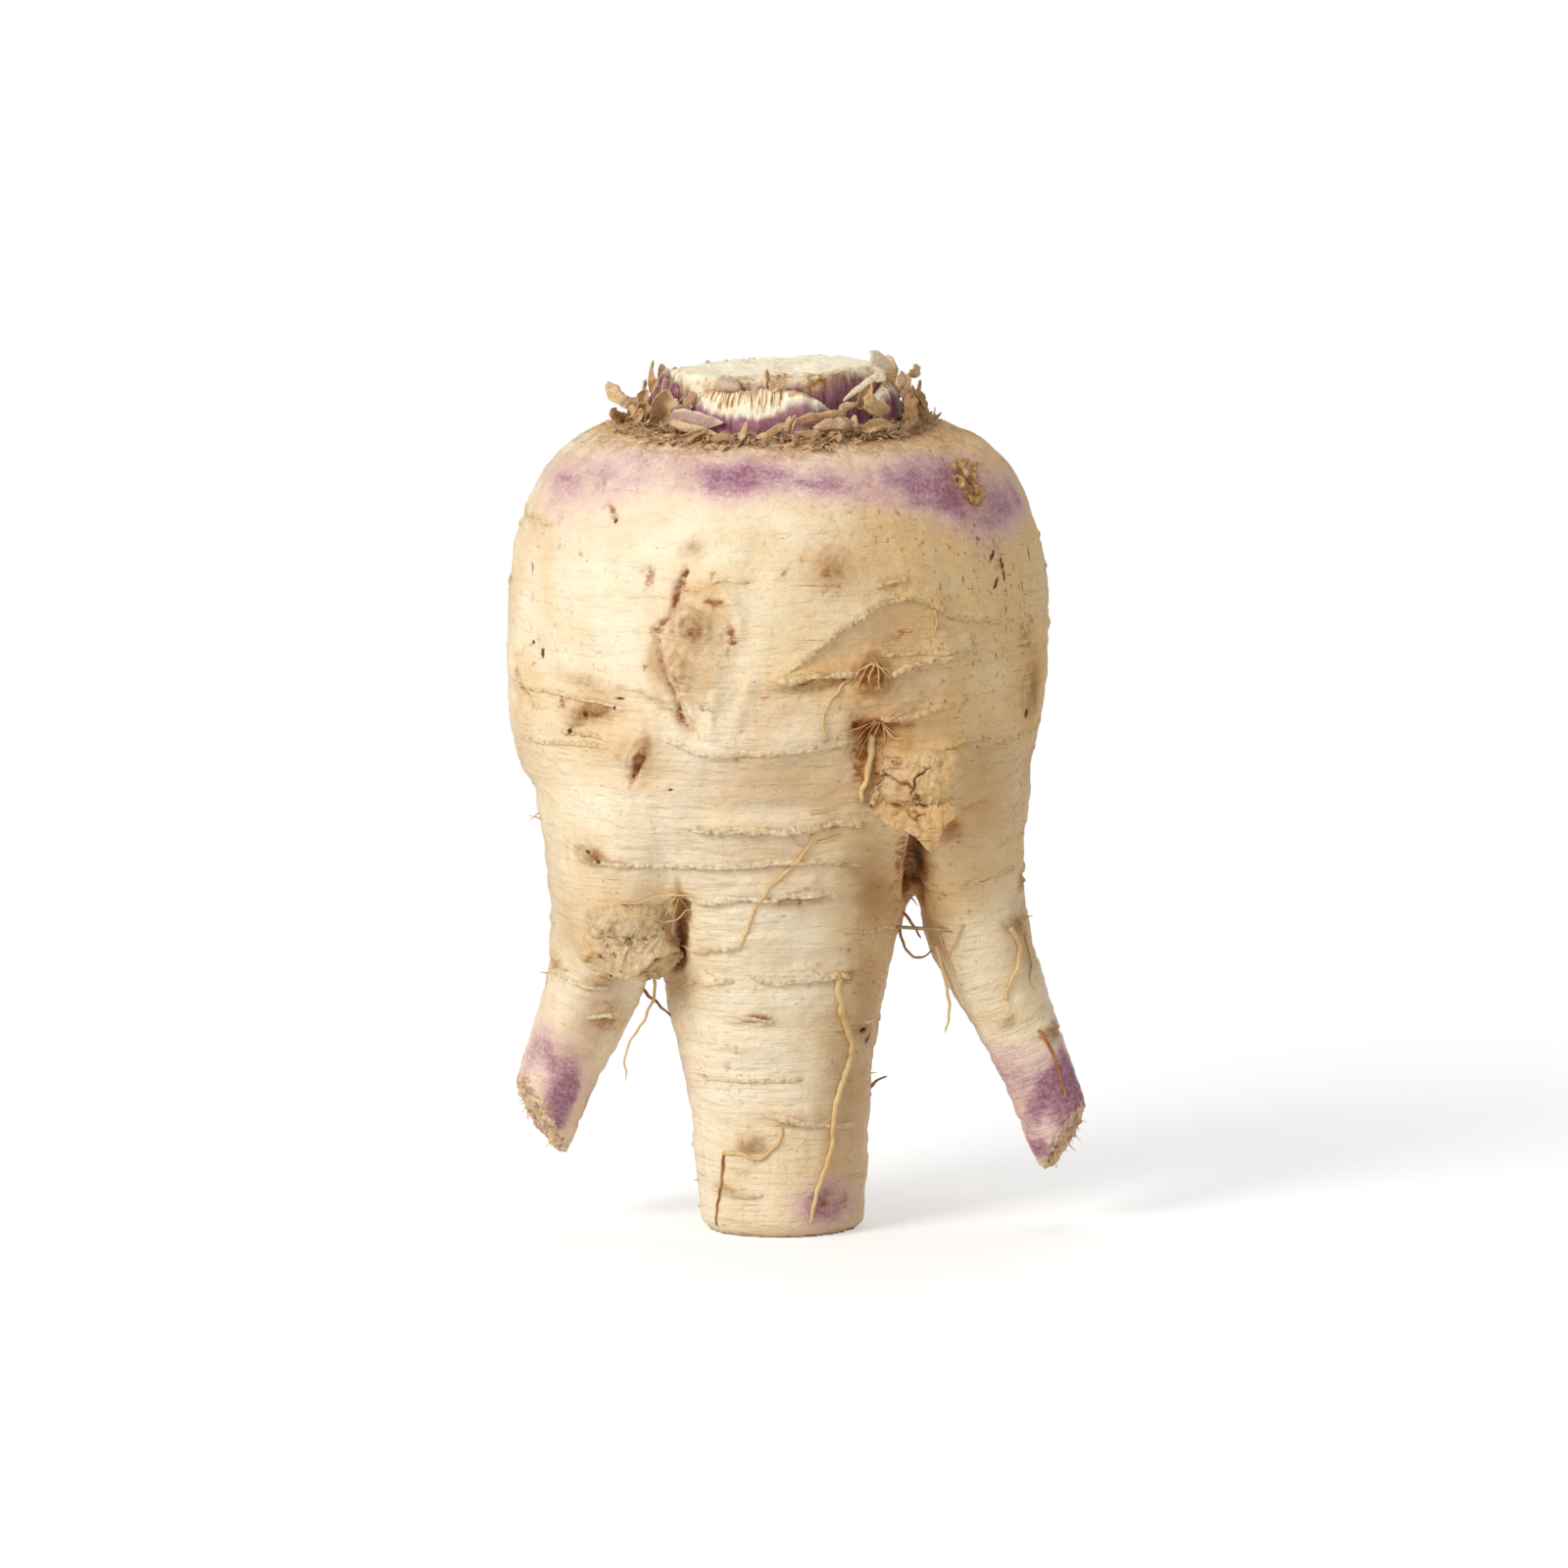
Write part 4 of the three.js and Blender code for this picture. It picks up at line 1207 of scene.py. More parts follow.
def pit_marks(nodes, points):
    """1 in each of the dark pits, each an oval set on the skin by its own Mapping node, and its halo."""
    rough = nodes.noise(points, 1500.0, 3.0)
    drift = nodes.add("ShaderNodeTexNoise", {"Vector": points, "Scale": 700.0, "Detail": 2.0})
    middle = nodes.shift("SUBTRACT", drift.outputs["Color"], (0.5, 0.5, 0.5))
    wander = nodes.add("ShaderNodeVectorMath", {0: middle, "Scale": 0.9 * MM}, operation="SCALE").outputs[0]
    bent, total = nodes.shift("ADD", points, wander), None
    for turn, across, height, half_width, half_length, lean in PITS:
        node = nodes.add("ShaderNodeMapping", {
            "Vector": bent,
            "Location": tuple(PIT_PLACES[(turn, across, height)] * MM),
            "Rotation": (0.0, math.radians(lean), math.radians(turn)),
            "Scale": (1.5 * half_width * MM, 2.0 * MM, 1.3 * half_length * MM),
        }, vector_type="TEXTURE")
        ball = nodes.add("ShaderNodeTexGradient", {"Vector": node.outputs[0]}, gradient_type="SPHERICAL")
        total = ball.outputs[1] if total is None else nodes.most(total, ball.outputs[1])
    ragged = nodes.plus(total, nodes.times(rough, 1.1))
    return nodes.ramp(ragged, 0.9, 1.15), nodes.ramp(total, 0.05, 0.5)


def skin_material():
    """The root's skin: cream with fine rings, tan rims, rust, violet blushes, dark pits and painted shade."""
    look, crown, _ = settings()
    material, nodes = new_material("Root skin")
    mask, mix, times, part, ramp = nodes.mask, nodes.mix, nodes.times, nodes.part, nodes.ramp
    points, along = nodes.points(), nodes.vector("grain")

    # Painted shade: pale skin turns to cream towards the right, away from the key lamp.
    broad, warm = nodes.mottle(points, 42.0, 0.38, 0.66)["Mask"], mask("warm")
    base = mix(part(broad, 0.42, warm, clamp=True), look.pale, look.cream)
    rings = nodes.streaks(along, 75.0, 560.0, 0.5, 0.75)
    scurf = nodes.mottle(along, 230.0, 0.52, 0.78, (1, 1, 2.2))["Mask"]
    brushed = nodes.streaks(along, 80.0, 800.0, 0.46, 0.7, (7, 7, 0.1))
    low_down = ramp(mask("low"), 0.0, 1.0, 0.25, 1.0)
    scurfy = ramp(mask("low"), 0.0, 1.0, 0.26, 0.14)
    faint = times(times(brushed["Mask"], low_down), 0.12)
    for amount in (times(rings["Mask"], 0.15), times(scurf, scurfy), faint):
        base = mix(amount, base, look.tan)

    grit = nodes.mottle(points, 900.0, 0.36, 0.62)["Mask"]
    wash = times(times(mask("wash"), part(broad, 0.4, 0.6)), part(grit, 0.25, 0.75), clamp=True)
    base = mix(times(wash, 0.85), base, look.wash)
    corky = times(mask("tan"), part(grit, 0.6, 0.4), clamp=True)
    base = mix(corky, base, look.tan)

    fleck = nodes.mottle(points, 1500.0, 0.3, 0.62)["Mask"]
    uneven = nodes.mottle(along, 210.0, 0.3, 0.7, (1, 1, 2.6))["Mask"]
    amount = times(times(mask("violet"), part(fleck, 0.22, 0.82)), part(uneven, 0.22, 0.86))
    violet = mix(ramp(amount, 0.3, 1.25), look.lilac, look.violet)
    base = mix(times(ramp(amount, -0.1, 0.85), part(fleck, 0.14, 0.86)), base, violet)

    cork = mask("cork")
    wrinkle = nodes.mottle(along, 640.0, 0.42, 0.58, (1, 1, 1.9))
    # Painted shade, with a little stain: darker, duller skin where shade falls and on some dark knots.
    base = mix(times(mask("dusk"), 0.9), base, look.dusk)
    base = mix(times(cork, 0.7), base, look.tan)
    # Painted shade: rust-brown in the low parts of the cork's wrinkle bump.
    between = times(nodes.maths("SUBTRACT", 1.0, wrinkle["Mask"]), cork)
    base = mix(times(between, 0.3), base, look.rust)
    # Painted shade: rust-brown low between the wrinkles of the knots.
    base = mix(times(mask("valley"), 0.6), base, look.rust)
    broken = nodes.plus(times(grit, 0.5), times(wrinkle["Mask"], 0.55))
    rust = times(mask("rust"), nodes.plus(broken, 0.2))
    base = mix(ramp(rust, 0.0, 1.08), base, look.rust)

    frayed = nodes.streaks(along, 160.0, 1500.0, stretch=(4, 4, 0.35))["Mask"]
    flesh = mix(times(grit, 0.5), mix(frayed, look.tan, look.rust), crown.flesh)
    base = mix(mask("cut"), base, flesh)

    tiny = nodes.specks(along, 420.0, 0.17, 0.1, (1, 1, 1.7))
    dashes = nodes.streaks(along, 330.0, 2600.0, 0.66, 0.74)["Mask"]
    patchy = nodes.mottle(points, 90.0, 0.5, 0.62)["Mask"]
    dashes = times(times(dashes, patchy), ramp(warm, 0.1, 0.7, 0.3, 0.8))
    scuffs = nodes.mottle(along, 560.0, 0.58, 0.65, (1.6, 1.6, 1))["Mask"]
    worn = times(nodes.mottle(points, 70.0, 0.44, 0.6)["Mask"], ramp(warm, 0.2, 0.8, 0.4, 1.0))
    scuffs = times(times(scuffs, worn), 0.8)
    base = mix(nodes.most(times(tiny, 0.5), nodes.most(dashes, scuffs)), base, look.rust)
    pits, halo = pit_marks(nodes, points)
    base = mix(times(halo, 0.45), base, look.rust)
    # Pits, and the dark mask with its painted shade in creases and the crevice.
    deep = nodes.most(times(pits, 0.9), times(mask("dark"), part(grit, 0.3, 0.75)), clamp=True)
    base = mix(deep, base, look.dark)

    rough = nodes.plus(part(rings["Height"], 0.25, 0.36), times(corky, 0.25), clamp=True)
    hair = nodes.streaks(along, 160.0, 1700.0)["Height"]
    crinkle = nodes.mottle(along, 480.0, stretch=(1, 1, 1.6))["Height"]
    nodes.finish(base, rough, 0.35, (0.08, (1.0, 0.55, 0.28), 1.5), (rings["Height"], 0.6), (hair, 0.24),
                 (crinkle, 0.6), (times(wrinkle["Height"], cork), 1.1),
                 (times(brushed["Height"], low_down), 0.12), (times(nodes.plus(deep, dashes), -1.0), 0.3),
                 (times(grit, corky), 0.16))
    return material


def bark_material():
    """Dry bark that has come away: tan, fibrous and wrinkled."""
    look, _, _ = settings()
    material, nodes = new_material("Dry bark")
    mask, mix, times = nodes.mask, nodes.mix, nodes.times
    points = nodes.points()
    broad = nodes.mottle(points, 160.0, 0.35, 0.68)["Mask"]
    lines = nodes.streaks(points, 90.0, 900.0, 0.48, 0.7, (7, 7, 0.12))
    grit = nodes.mottle(points, 900.0, 0.4, 0.66)["Mask"]
    tiny = nodes.specks(points, 620.0, 0.2, 0.08)
    base = mix(broad, look.bark, look.cream)
    # The dark mask holds the painted shade in the scar's cracks.
    for amount, shade in ((times(lines["Mask"], 0.35), look.tan), (times(grit, 0.28), look.rust),
                          (times(tiny, 0.6), look.rust), (times(mask("rust"), 0.8), look.rust),
                          (mask("dark"), look.dark)):
        base = mix(amount, base, shade)
    rough = nodes.ramp(grit, 0.0, 1.0, 0.6, 0.85)
    nodes.finish(base, rough, 0.25, None, (lines["Height"], 0.3), (grit, 0.12), (broad, 0.3))
    return material


def flesh_material():
    """The cut crown: pale, porous and crumbly on top, with sap spots, and violet down its sides."""
    look, crown, _ = settings()
    material, nodes = new_material("Cut flesh")
    mask, mix, times = nodes.mask, nodes.mix, nodes.times
    points = nodes.points()
    broad = nodes.mottle(points, 260.0, 0.4, 0.7)
    grit = nodes.mottle(points, 1200.0, 0.42, 0.66)
    lines = nodes.streaks(points, 90.0, 900.0, 0.4, 0.66, (8, 8, 0.12))
    base = mix(times(broad["Mask"], 0.45), crown.flesh, look.cream)
    base = mix(times(grit["Mask"], 0.1), base, look.tan)
    base = mix(times(mask("sap"), nodes.plus(grit["Mask"], 0.35), clamp=True), base, crown.spot)
    base = mix(times(mask("rust"), 0.9), base, look.rust)
    base = mix(mask("violet"), base, mix(times(lines["Mask"], 0.5), crown.stalk, look.lilac))
    base = mix(times(nodes.specks(points, 900.0, 0.3, 0.2), 0.14), base, look.rust)
    nodes.finish(base, nodes.ramp(mask("violet"), 0.0, 1.0, 0.75, 0.4), 0.3, (0.15, (1.0, 0.6, 0.35), 1.5),
                 (broad["Height"], 0.3), (grit["Height"], 0.16), (lines["Height"], 0.15))
    return material


def stalk_material():
    """A cut leaf stalk: glossy violet skin, white where torn, yellow-brown fibres in the scar, tan rim."""
    look, crown, _ = settings()
    material, nodes = new_material("Leaf stalk")
    mask, mix, times = nodes.mask, nodes.mix, nodes.times
    points = nodes.points()
    lines = nodes.streaks(nodes.vector("veins"), 170.0, 1900.0, 0.36, 0.66)
    broad = nodes.mottle(points, 300.0, 0.35, 0.7)["Mask"]
    grit = nodes.mottle(points, 1000.0, 0.4, 0.64)["Mask"]
    skin = mix(times(broad, 0.3), crown.stalk, look.lilac)
    skin = mix(times(lines["Mask"], 0.2), skin, look.lilac)
    skin = mix(mask("pale"), skin, look.pale)
    base = mix(mask("torn"), skin, mix(times(lines["Mask"], 0.35), crown.flesh, look.cream))
    base = mix(times(mask("scar"), nodes.ramp(lines["Height"], 0.44, 0.58), clamp=True), base, crown.spot)
    base = mix(times(mask("sap"), nodes.part(grit, 0.8, 0.5), clamp=True), base, crown.spot)
    dry = times(mask("dry"), nodes.part(grit, 0.5, 0.7), clamp=True)
    base = mix(dry, base, mix(grit, crown.scale, look.tan))
    nodes.finish(base, nodes.ramp(nodes.most(mask("torn"), dry), 0.0, 1.0, 0.32, 0.8), 0.4,
                 (0.1, (1.0, 0.6, 0.5), 1.0), (lines["Height"], 0.22), (broad, 0.2), (times(grit, dry), 0.15))
    return material


def scale_material():
    """Dry leaf scales: tan and papery with fine veins; a few keep a lilac tint."""
    look, crown, _ = settings()
    material, nodes = new_material("Dry scale")
    mask, mix, times = nodes.mask, nodes.mix, nodes.times
    points = nodes.points()
    veins = nodes.streaks(nodes.vector("veins"), 120.0, 2600.0, 0.4, 0.64)
    broad = nodes.mottle(points, 420.0, 0.36, 0.66)["Mask"]
    grit = nodes.mottle(points, 1400.0, 0.45, 0.66)["Mask"]
    base = mix(broad, crown.scale, look.tan)
    for amount, shade in ((times(veins["Mask"], 0.25), look.cream), (times(mask("brown"), 0.66), crown.crumb),
                          (mask("lilac"), mix(times(veins["Mask"], 0.5), crown.stalk, look.lilac)),
                          (mask("pale"), look.pale), (times(grit, 0.18), look.rust)):
        base = mix(amount, base, shade)
    rough = nodes.ramp(grit, 0.0, 1.0, 0.5, 0.75)
    nodes.finish(base, rough, 0.3, None, (veins["Height"], 0.18), (broad, 0.2), (grit, 0.06))
    return material


def fibre_material(name, shade, second):
    """Fine roots and threads, straw-coloured with darker stretches."""
    material, nodes = new_material(name)
    points = nodes.points()
    broad = nodes.mottle(points, 240.0, 0.4, 0.66)["Mask"]
    grit = nodes.mottle(points, 1800.0)
    base = nodes.mix(nodes.times(broad, 0.55), shade, second)
    base = nodes.mix(nodes.mask("brown"), base, second)
    base = nodes.mix(nodes.times(grit["Mask"], 0.2), base, second)
    nodes.finish(base, nodes.ramp(grit["Mask"], 0.0, 1.0, 0.55, 0.75), 0.3, None, (grit["Height"], 0.12))
    return material


def crumb_material():
    """Crumbs of soil and broken scale, each its own shade of brown."""
    look, crown, _ = settings()
    material, nodes = new_material("Crumbs")
    grit = nodes.mottle(nodes.points(), 2200.0)
    base = nodes.mix(nodes.mask("shade"), crown.crumb, crown.scale)
    base = nodes.mix(nodes.times(grit["Mask"], 0.15), base, look.dark)
    nodes.finish(base, nodes.ramp(grit["Mask"], 0.0, 1.0, 0.7, 0.95), 0.5, None, (grit["Height"], 0.15))
    return material


def material_named(name):
    """The material of this name, built the first time that it is asked for."""
    look, crown, _ = settings()
    builders = {
        "skin": skin_material, "bark": bark_material, "flesh": flesh_material, "stalk": stalk_material,
        "scale": scale_material, "crumb": crumb_material,
        "fibre": lambda: fibre_material("Fine root", crown.fibre, look.tan),
        "thread": lambda: fibre_material("Brown thread", look.tan, look.rust),
    }
    if name not in MATERIALS:
        MATERIALS[name] = builders[name]()
    return MATERIALS[name]


# ---------------------------------------------------------------- the skin
# How wide the faces of the first, rough mesh are; below what height the foot is flat and the skin leaves it
# alone; how far a leg's cut reaches round its middle; and how many lips each further side gets.
ROUGH_QUAD = 1.0
FLAT_FOOT = 0.45
FOOT_BAND = 0.7
CUT_REACH = 16
LIPS_TO_A_SIDE = 7
# A lip's rim from its foot to its edge and back under, each row how far up the skin and how far out.
LIP_ROWS = [(1.0, -0.25), (0.72, 0.2), (0.45, 0.45), (0.22, 0.7), (0.06, 0.95), (-0.02, 1.0), (-0.06, 0.5),
            (0.0, -0.4)]


def copy_of(node, name):
    """A new object with a copy of a CAD node's mesh, its points merged."""
    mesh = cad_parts[node].data.copy()
    mesh.name = name
    piece = bpy.data.objects.new(name, mesh)
    bpy.context.scene.collection.objects.link(piece)
    only(piece)
    bpy.ops.object.mode_set(mode="EDIT")
    bpy.ops.mesh.select_all(action="SELECT")
    bpy.ops.mesh.remove_doubles(threshold=0.01 * MM)
    bpy.ops.object.mode_set(mode="OBJECT")
    return piece


def refine(piece):
    """Halves the faces of the areas with the finest folds."""
    points, normals = points_of(piece), normals_of(piece)
    inside = np.zeros(len(points), bool)
    for turn, across, height, half_width, half_height in FINE_AREAS:
        flat, share = seen_from(turn, points, normals)
        u, v = (flat[:, 0] - across) / half_width, (flat[:, 1] - height) / half_height
        inside |= (share > 0.2) & (u**2 + v**2 < 1)
    mesh = bmesh.new()
    mesh.from_mesh(piece.data)
    mesh.verts.ensure_lookup_table()
    edges = [edge for edge in mesh.edges if inside[edge.verts[0].index] and inside[edge.verts[1].index]]
    bmesh.ops.subdivide_edges(mesh, edges=edges, cuts=1, use_grid_fill=True)
    mesh.to_mesh(piece.data)
    mesh.free()


def side_views(points, normals):
    """The points as each of the four sides sees them."""
    turns = (SIDES[side] for side in ("front", "right", "back", "left"))
    return {turn: seen_from(turn, points, normals) for turn in turns}


def each_spot(views, table, bend=0.0):
    """For each row of a table of spots, how strong it is at each point."""
    for turn, *place, strength in table:
        flat, share = views[turn]
        yield strength * share * spot(flat + bend, *place)


def all_spots(views, table, bend=0.0):
    """How strong all the spots of a table are together at each point."""
    total = 0.0
    for amount in each_spot(views, table, bend):
        total = total + amount
    return total


def past_cut(cut, points):
    """How far each point lies past a leg's cut, and whether it is near it."""
    away = points - np.array(cut["at"])
    return away @ unit(cut["waste"]), np.linalg.norm(away, axis=1) < CUT_REACH


def skin_relief(points, normals):
    """How far each point stands out, how deep in a crease it is, and how low between a knot's wrinkles it
    lies, as painted shade.
    """
    look, _, _ = settings()
    views = side_views(points, normals)
    out, deep, valley = all_spots(views, SWELLINGS), np.zeros(len(points)), np.zeros(len(points))
    wander = 0.35 * beside(noise(points, 2.2, 41), noise(points, 2.2, 42))
    for turn, half_width, far, path in CREASES:
        flat, share = views[turn]
        gap, place, _ = from_path(flat + wander, path)
        line = share * bell(gap / half_width) * inside_ends(place, 0.12)
        out += far * line
        deep = np.maximum(deep, line * min(1.0, max(0.0, -far / 1.5)) * (half_width < 2.5))
    bent = 2.6 * noise(points, 3.0, 43)
    coarse, fine = 0.6 * noise(points, 1.5, 44), 0.4 * noise(points, 0.9, 45)
    for turn, across, height, half_width, half_height, lean, strength in KNOTS:
        flat, share = views[turn]
        oval = share * spot(flat, across, height, half_width, half_height, lean)
        gap = np.sqrt(-np.log(np.maximum(oval, 1e-9) / np.maximum(share, 1e-9)))
        ripple = np.sin(3.4 * min(half_width, half_height) * gap + bent)
        wave = 0.5 * ripple + coarse + fine
        out += strength * oval * (0.8 * wave + 0.4)
        # Painted shade where the knot's wave is low.
        valley = np.maximum(valley, strength * np.sqrt(oval) * fade(0.3, -0.6, wave))
    along = grain(points)
    rings = 0.5 * noise(along, (11, 11, 2.6), 3) + 0.4 * noise(along, (8, 8, 1.3), 4)
    rings -= 0.9 * bell(noise(along, (15, 15, 3.4), 5) / 0.13)
    strength = look.wrinkle / MM * (0.4 + 0.6 * fade(126, 98, points[:, 2]))
    out += strength * rings + 0.3 * noise(points, 8, 6) + 0.12 * noise(points, 3.2, 7)
    litter = fade(138.2, 139.8, points[:, 2])
    out += litter * (0.25 * noise(points, 2.4, 8) + 0.2 * noise(points, 1.5, 9))
    return out, deep, valley


def scattered_lips(tree, rng):
    """More lips like those of the front, on the other sides."""
    lips = []
    for turn in (68, 112, 160, 205, -66, -114):
        out, _ = side_axes(turn)
        while sum(1 for lip in lips if lip[0] == turn) < LIPS_TO_A_SIDE:
            middle, height = rng.uniform(-24, 24), rng.uniform(14, 128)
            if height < 60:
                middle = rng.uniform(-12, 12)
            half = rng.uniform(3, 10) * (1.3 if height > 70 else 0.8)
            slope = rng.uniform(-0.14, 0.14)
            path = [(middle + half * t, height + slope * half * t + rng.uniform(-0.5, 0.5))
                    for t in np.linspace(-1, 1, 6)]
            try:
                hits = [on_skin(tree, turn, across, up) for across, up in smooth_path(path, 0.5)]
            except ValueError:  # this lip would run off the skin
                continue
            places = np.array([place for place, _ in hits])
            jumps = np.linalg.norm(np.diff(places, axis=0), axis=1)
            if min(float(normal @ out) for _, normal in hits) < 0.45 or jumps.max() > 1.5:
                continue
            lips.append((turn, rng.uniform(0.15, 0.35), rng.uniform(0.7, 1.3), path))
    return lips


def lip_steps(points, normals, lips):
    """The step that each lip makes in the skin, and how near each point is to a rim."""
    out, rim = np.zeros(len(points)), np.zeros(len(points))
    for turn, height, _, path in lips:
        flat, share = seen_from(turn, points, normals)
        low, high = np.min(path, axis=0) - 6, np.max(path, axis=0) + 6
        near = np.flatnonzero(np.all((flat > low) & (flat < high), axis=1) & (share > 0))
        gap, place, side = from_path(flat[near], path)
        ends = share[near] * inside_ends(place, 0.1)
        above = np.exp(-gap / 2.4) * (side > 0)
        below = np.exp(-gap / 0.9) * (side <= 0)
        out[near] += ends * height * (0.7 * above - 0.4 * below)
        rim[near] = np.maximum(rim[near], ends * bell(gap / 0.6))
    return out, rim


def skin_masks(piece, deep, valley, rim):
    """Writes the masks that the skin's material reads."""
    points, normals = points_of(piece), normals_of(piece)
    views = side_views(points, normals)
    z = points[:, 2]
    blotch, fine = noise(points, 3.4, 21), noise(points, 1.4, 22)

    violet = all_spots(views, BLUSHES)
    violet += 0.06 * fade(131, 136, z + 1.5 * blotch) * fade(141, 138, z)
    violet *= 0.98 + 0.14 * blotch + 0.05 * fine + 0.12 * noise(points, (5.0, 5.0, 1.4), 29)
    for leg, cut, sign, amount in ((LEFT_LEG, LEFT_CUT, -1, 0.35), (RIGHT_LEG, RIGHT_CUT, 1, 0.45)):
        along = fade(17, 3, 3 * blotch - past_cut(cut, points)[0]) * leg_share(points, leg, sign)
        stripes = fade(-0.4, 0.6, noise(grain(points), (3.4, 3.4, 9), 23 + sign) + 0.2 * fine)
        violet += amount * along * stripes * (z > 1.5)
    put_mask(piece, "violet", violet, 1.1)

    tan = 0.8 * fade(137.6, 140.2, z + 1.2 * blotch + 0.5 * fine)
    tan += 0.6 * fade(129, 138, z + 2.0 * blotch) * fade(-0.3, 0.5, noise(points, 6.0, 24) + 0.4 * fine)
    tan += 0.3 * rim * (0.7 + 0.6 * fine) + 0.2 * fade(0.3, 0.8, fractal(grain(points), (8, 8, 4.0), 3, 25))
    put_mask(piece, "tan", tan)
    wash = all_spots(views, WASHES, 1.2 * blotch[:, None])
    wash += (0.45 - 0.25 * fade(72, 60, z)) * fade(0.0, 0.7, fractal(points, 13, 3, 28))
    put_mask(piece, "wash", wash)

    # Corkiness from the knots' table, and painted shade with a little stain from the table after it.
    cork, dusk = (np.max(list(each_spot(views, table, bend * beside(blotch, fine))), axis=0)
                  for table, bend in ((KNOTS, 0.5), (SHADE_AND_STAIN, 1.0)))
    put_mask(piece, "cork", 1.15 * cork)
    put_mask(piece, "dusk", 1.15 * dusk)
    put_mask(piece, "valley", valley)

    # Painted shade: rust down the bottoms of deep creases. Along each lip's rim a brown line, partly the
    # rim's own colour and partly painted shadow under the lip.
    rust = 0.4 * rim * fade(-0.1, 0.5, blotch + fine) + 0.7 * fade(0.1, 0.8, deep)
    rust += 0.6 * fade(0.45, 0.75, noise(points, 2.1, 30)) * fade(0.05, 0.4, noise(points, 13.0, 31))
    for amount in each_spot(views, STAINS):
        rust += amount * (0.85 + 0.5 * fine)
    collar = fade(140.9, 141.9, z + 0.4 * blotch)
    put_mask(piece, "rust", rust + 0.8 * collar, 1.2)
    # Dark: painted shade at the bottoms of deep creases and, where the painted shade is strongest, in the
    # crevice; and the collar.
    put_mask(piece, "dark", 0.3 * fade(0.5, 1.0, deep) + fade(1.0, 2.6, dusk) + 0.4 * collar)

    put_mask(piece, "warm", side_shade_at(points))
    put_mask(piece, "low", fade(84, 66, z + 5 * blotch))

    cut = fade(0.5, 0.2, z)
    for place in (LEFT_CUT, RIGHT_CUT):
        gap, near = past_cut(place, points)
        facing = fade(0.5, 0.8, normals @ unit(place["waste"]))
        cut = np.maximum(cut, fade(0.9, 0.4, np.abs(gap)) * facing * near)
    put_mask(piece, "cut", cut)
    put_vector(piece, "grain", grain(points))


def side_shade_at(points):
    """Painted shade at each place, taking pale skin to cream: more to the right, away from the key lamp."""
    slow = 6 * noise(points, 3.4, 21)
    warm = 0.82 * fade(-16, 44, points[:, 0] + slow)
    # Less painted shade on the right leg.
    warm -= 0.6 * fade(66, 46, points[:, 2] + 8 * noise(points, 16, 26)) * fade(16, 32, points[:, 0])
    return np.clip(warm + 0.16 * noise(points, 12, 27), 0, 1)


def skin_like(piece, **masks):
    """Writes the masks of a piece that wears the skin's material; those not named are 0."""
    places = points_of(piece)
    for name in ("violet", "tan", "wash", "rust", "dark", "cut", "cork", "dusk", "valley"):
        put_mask(piece, name, masks.get(name, 0) + np.zeros(len(places)), 1.2)
    put_mask(piece, "warm", side_shade_at(places) + masks.get("warm", 0))
    put_mask(piece, "low", fade(84, 66, places[:, 2]))
    put_vector(piece, "grain", grain(places))


def lip_ribbons(name, tree, lips):
    """The crumbly rims of the lips: thin strips that rise out of the skin and end in a crisp lower edge."""
    points, faces, rise_of = [], [], []
    for number, (turn, height, width, path) in enumerate(lips):
        line = smooth_path(path, 0.2)
        count = len(line)
        marks = beside(line[:, 0], line[:, 1], 50.0 * number)
        shake = 0.7 * noise(marks, 3.1, 51) + 0.25 * noise(marks, 0.9, 52)
        body = np.clip(0.65 + 0.7 * noise(marks, 3.4, 53) + 0.14 * noise(marks, 0.8, 54), 0.02, 1.3)
        ends = inside_ends(np.linspace(0, 1, count), 0.08)
        grid = []
        try:
            for row, (up, rise) in enumerate(LIP_ROWS):
                rough = noise(marks + (0, 0, 9.0 * row), 0.5, 57)
                tall = line[:, 1] + 0.35 * shake + up * 0.72 * width * (0.45 + 0.55 * body) + 0.1 * rough
                for k in range(count):
                    place, normal = on_skin(tree, turn, line[k, 0], tall[k])
                    lift = rise * height * body[k] * ends[k] * (0.8 + 0.12 * rough[k]) if rise > 0 else rise
                    grid.append(place + normal * (lift - 0.12 * (1 - ends[k])))
        except ValueError:  # this lip runs off the skin
            continue
        faces += [tuple(len(points) + c for c in face) for face in strip_faces(len(LIP_ROWS), count)]
        points += grid
        rise_of += [max(0.0, rise) for _, rise in LIP_ROWS for _ in range(count)]
    piece = new_mesh(name, points, faces)
    places = points_of(piece)
    fine, rise_of = noise(places, 0.8, 55), np.array(rise_of)
    skin_like(piece, tan=0.15 + 0.4 * rise_of * (0.6 + 0.8 * fine), wash=0.3 + 0.3 * noise(places, 4.0, 58),
              cork=0.05 + 0.35 * fine, rust=0.4 * fade(0.1, 0.6, noise(places, 1.7, 56)))
    finish_with(piece, "SOLIDIFY", thickness=0.1 * MM, offset=-1)
    return piece


# Holds the tree of the finished skin, which the later operators set their pieces on.
SKIN = {}


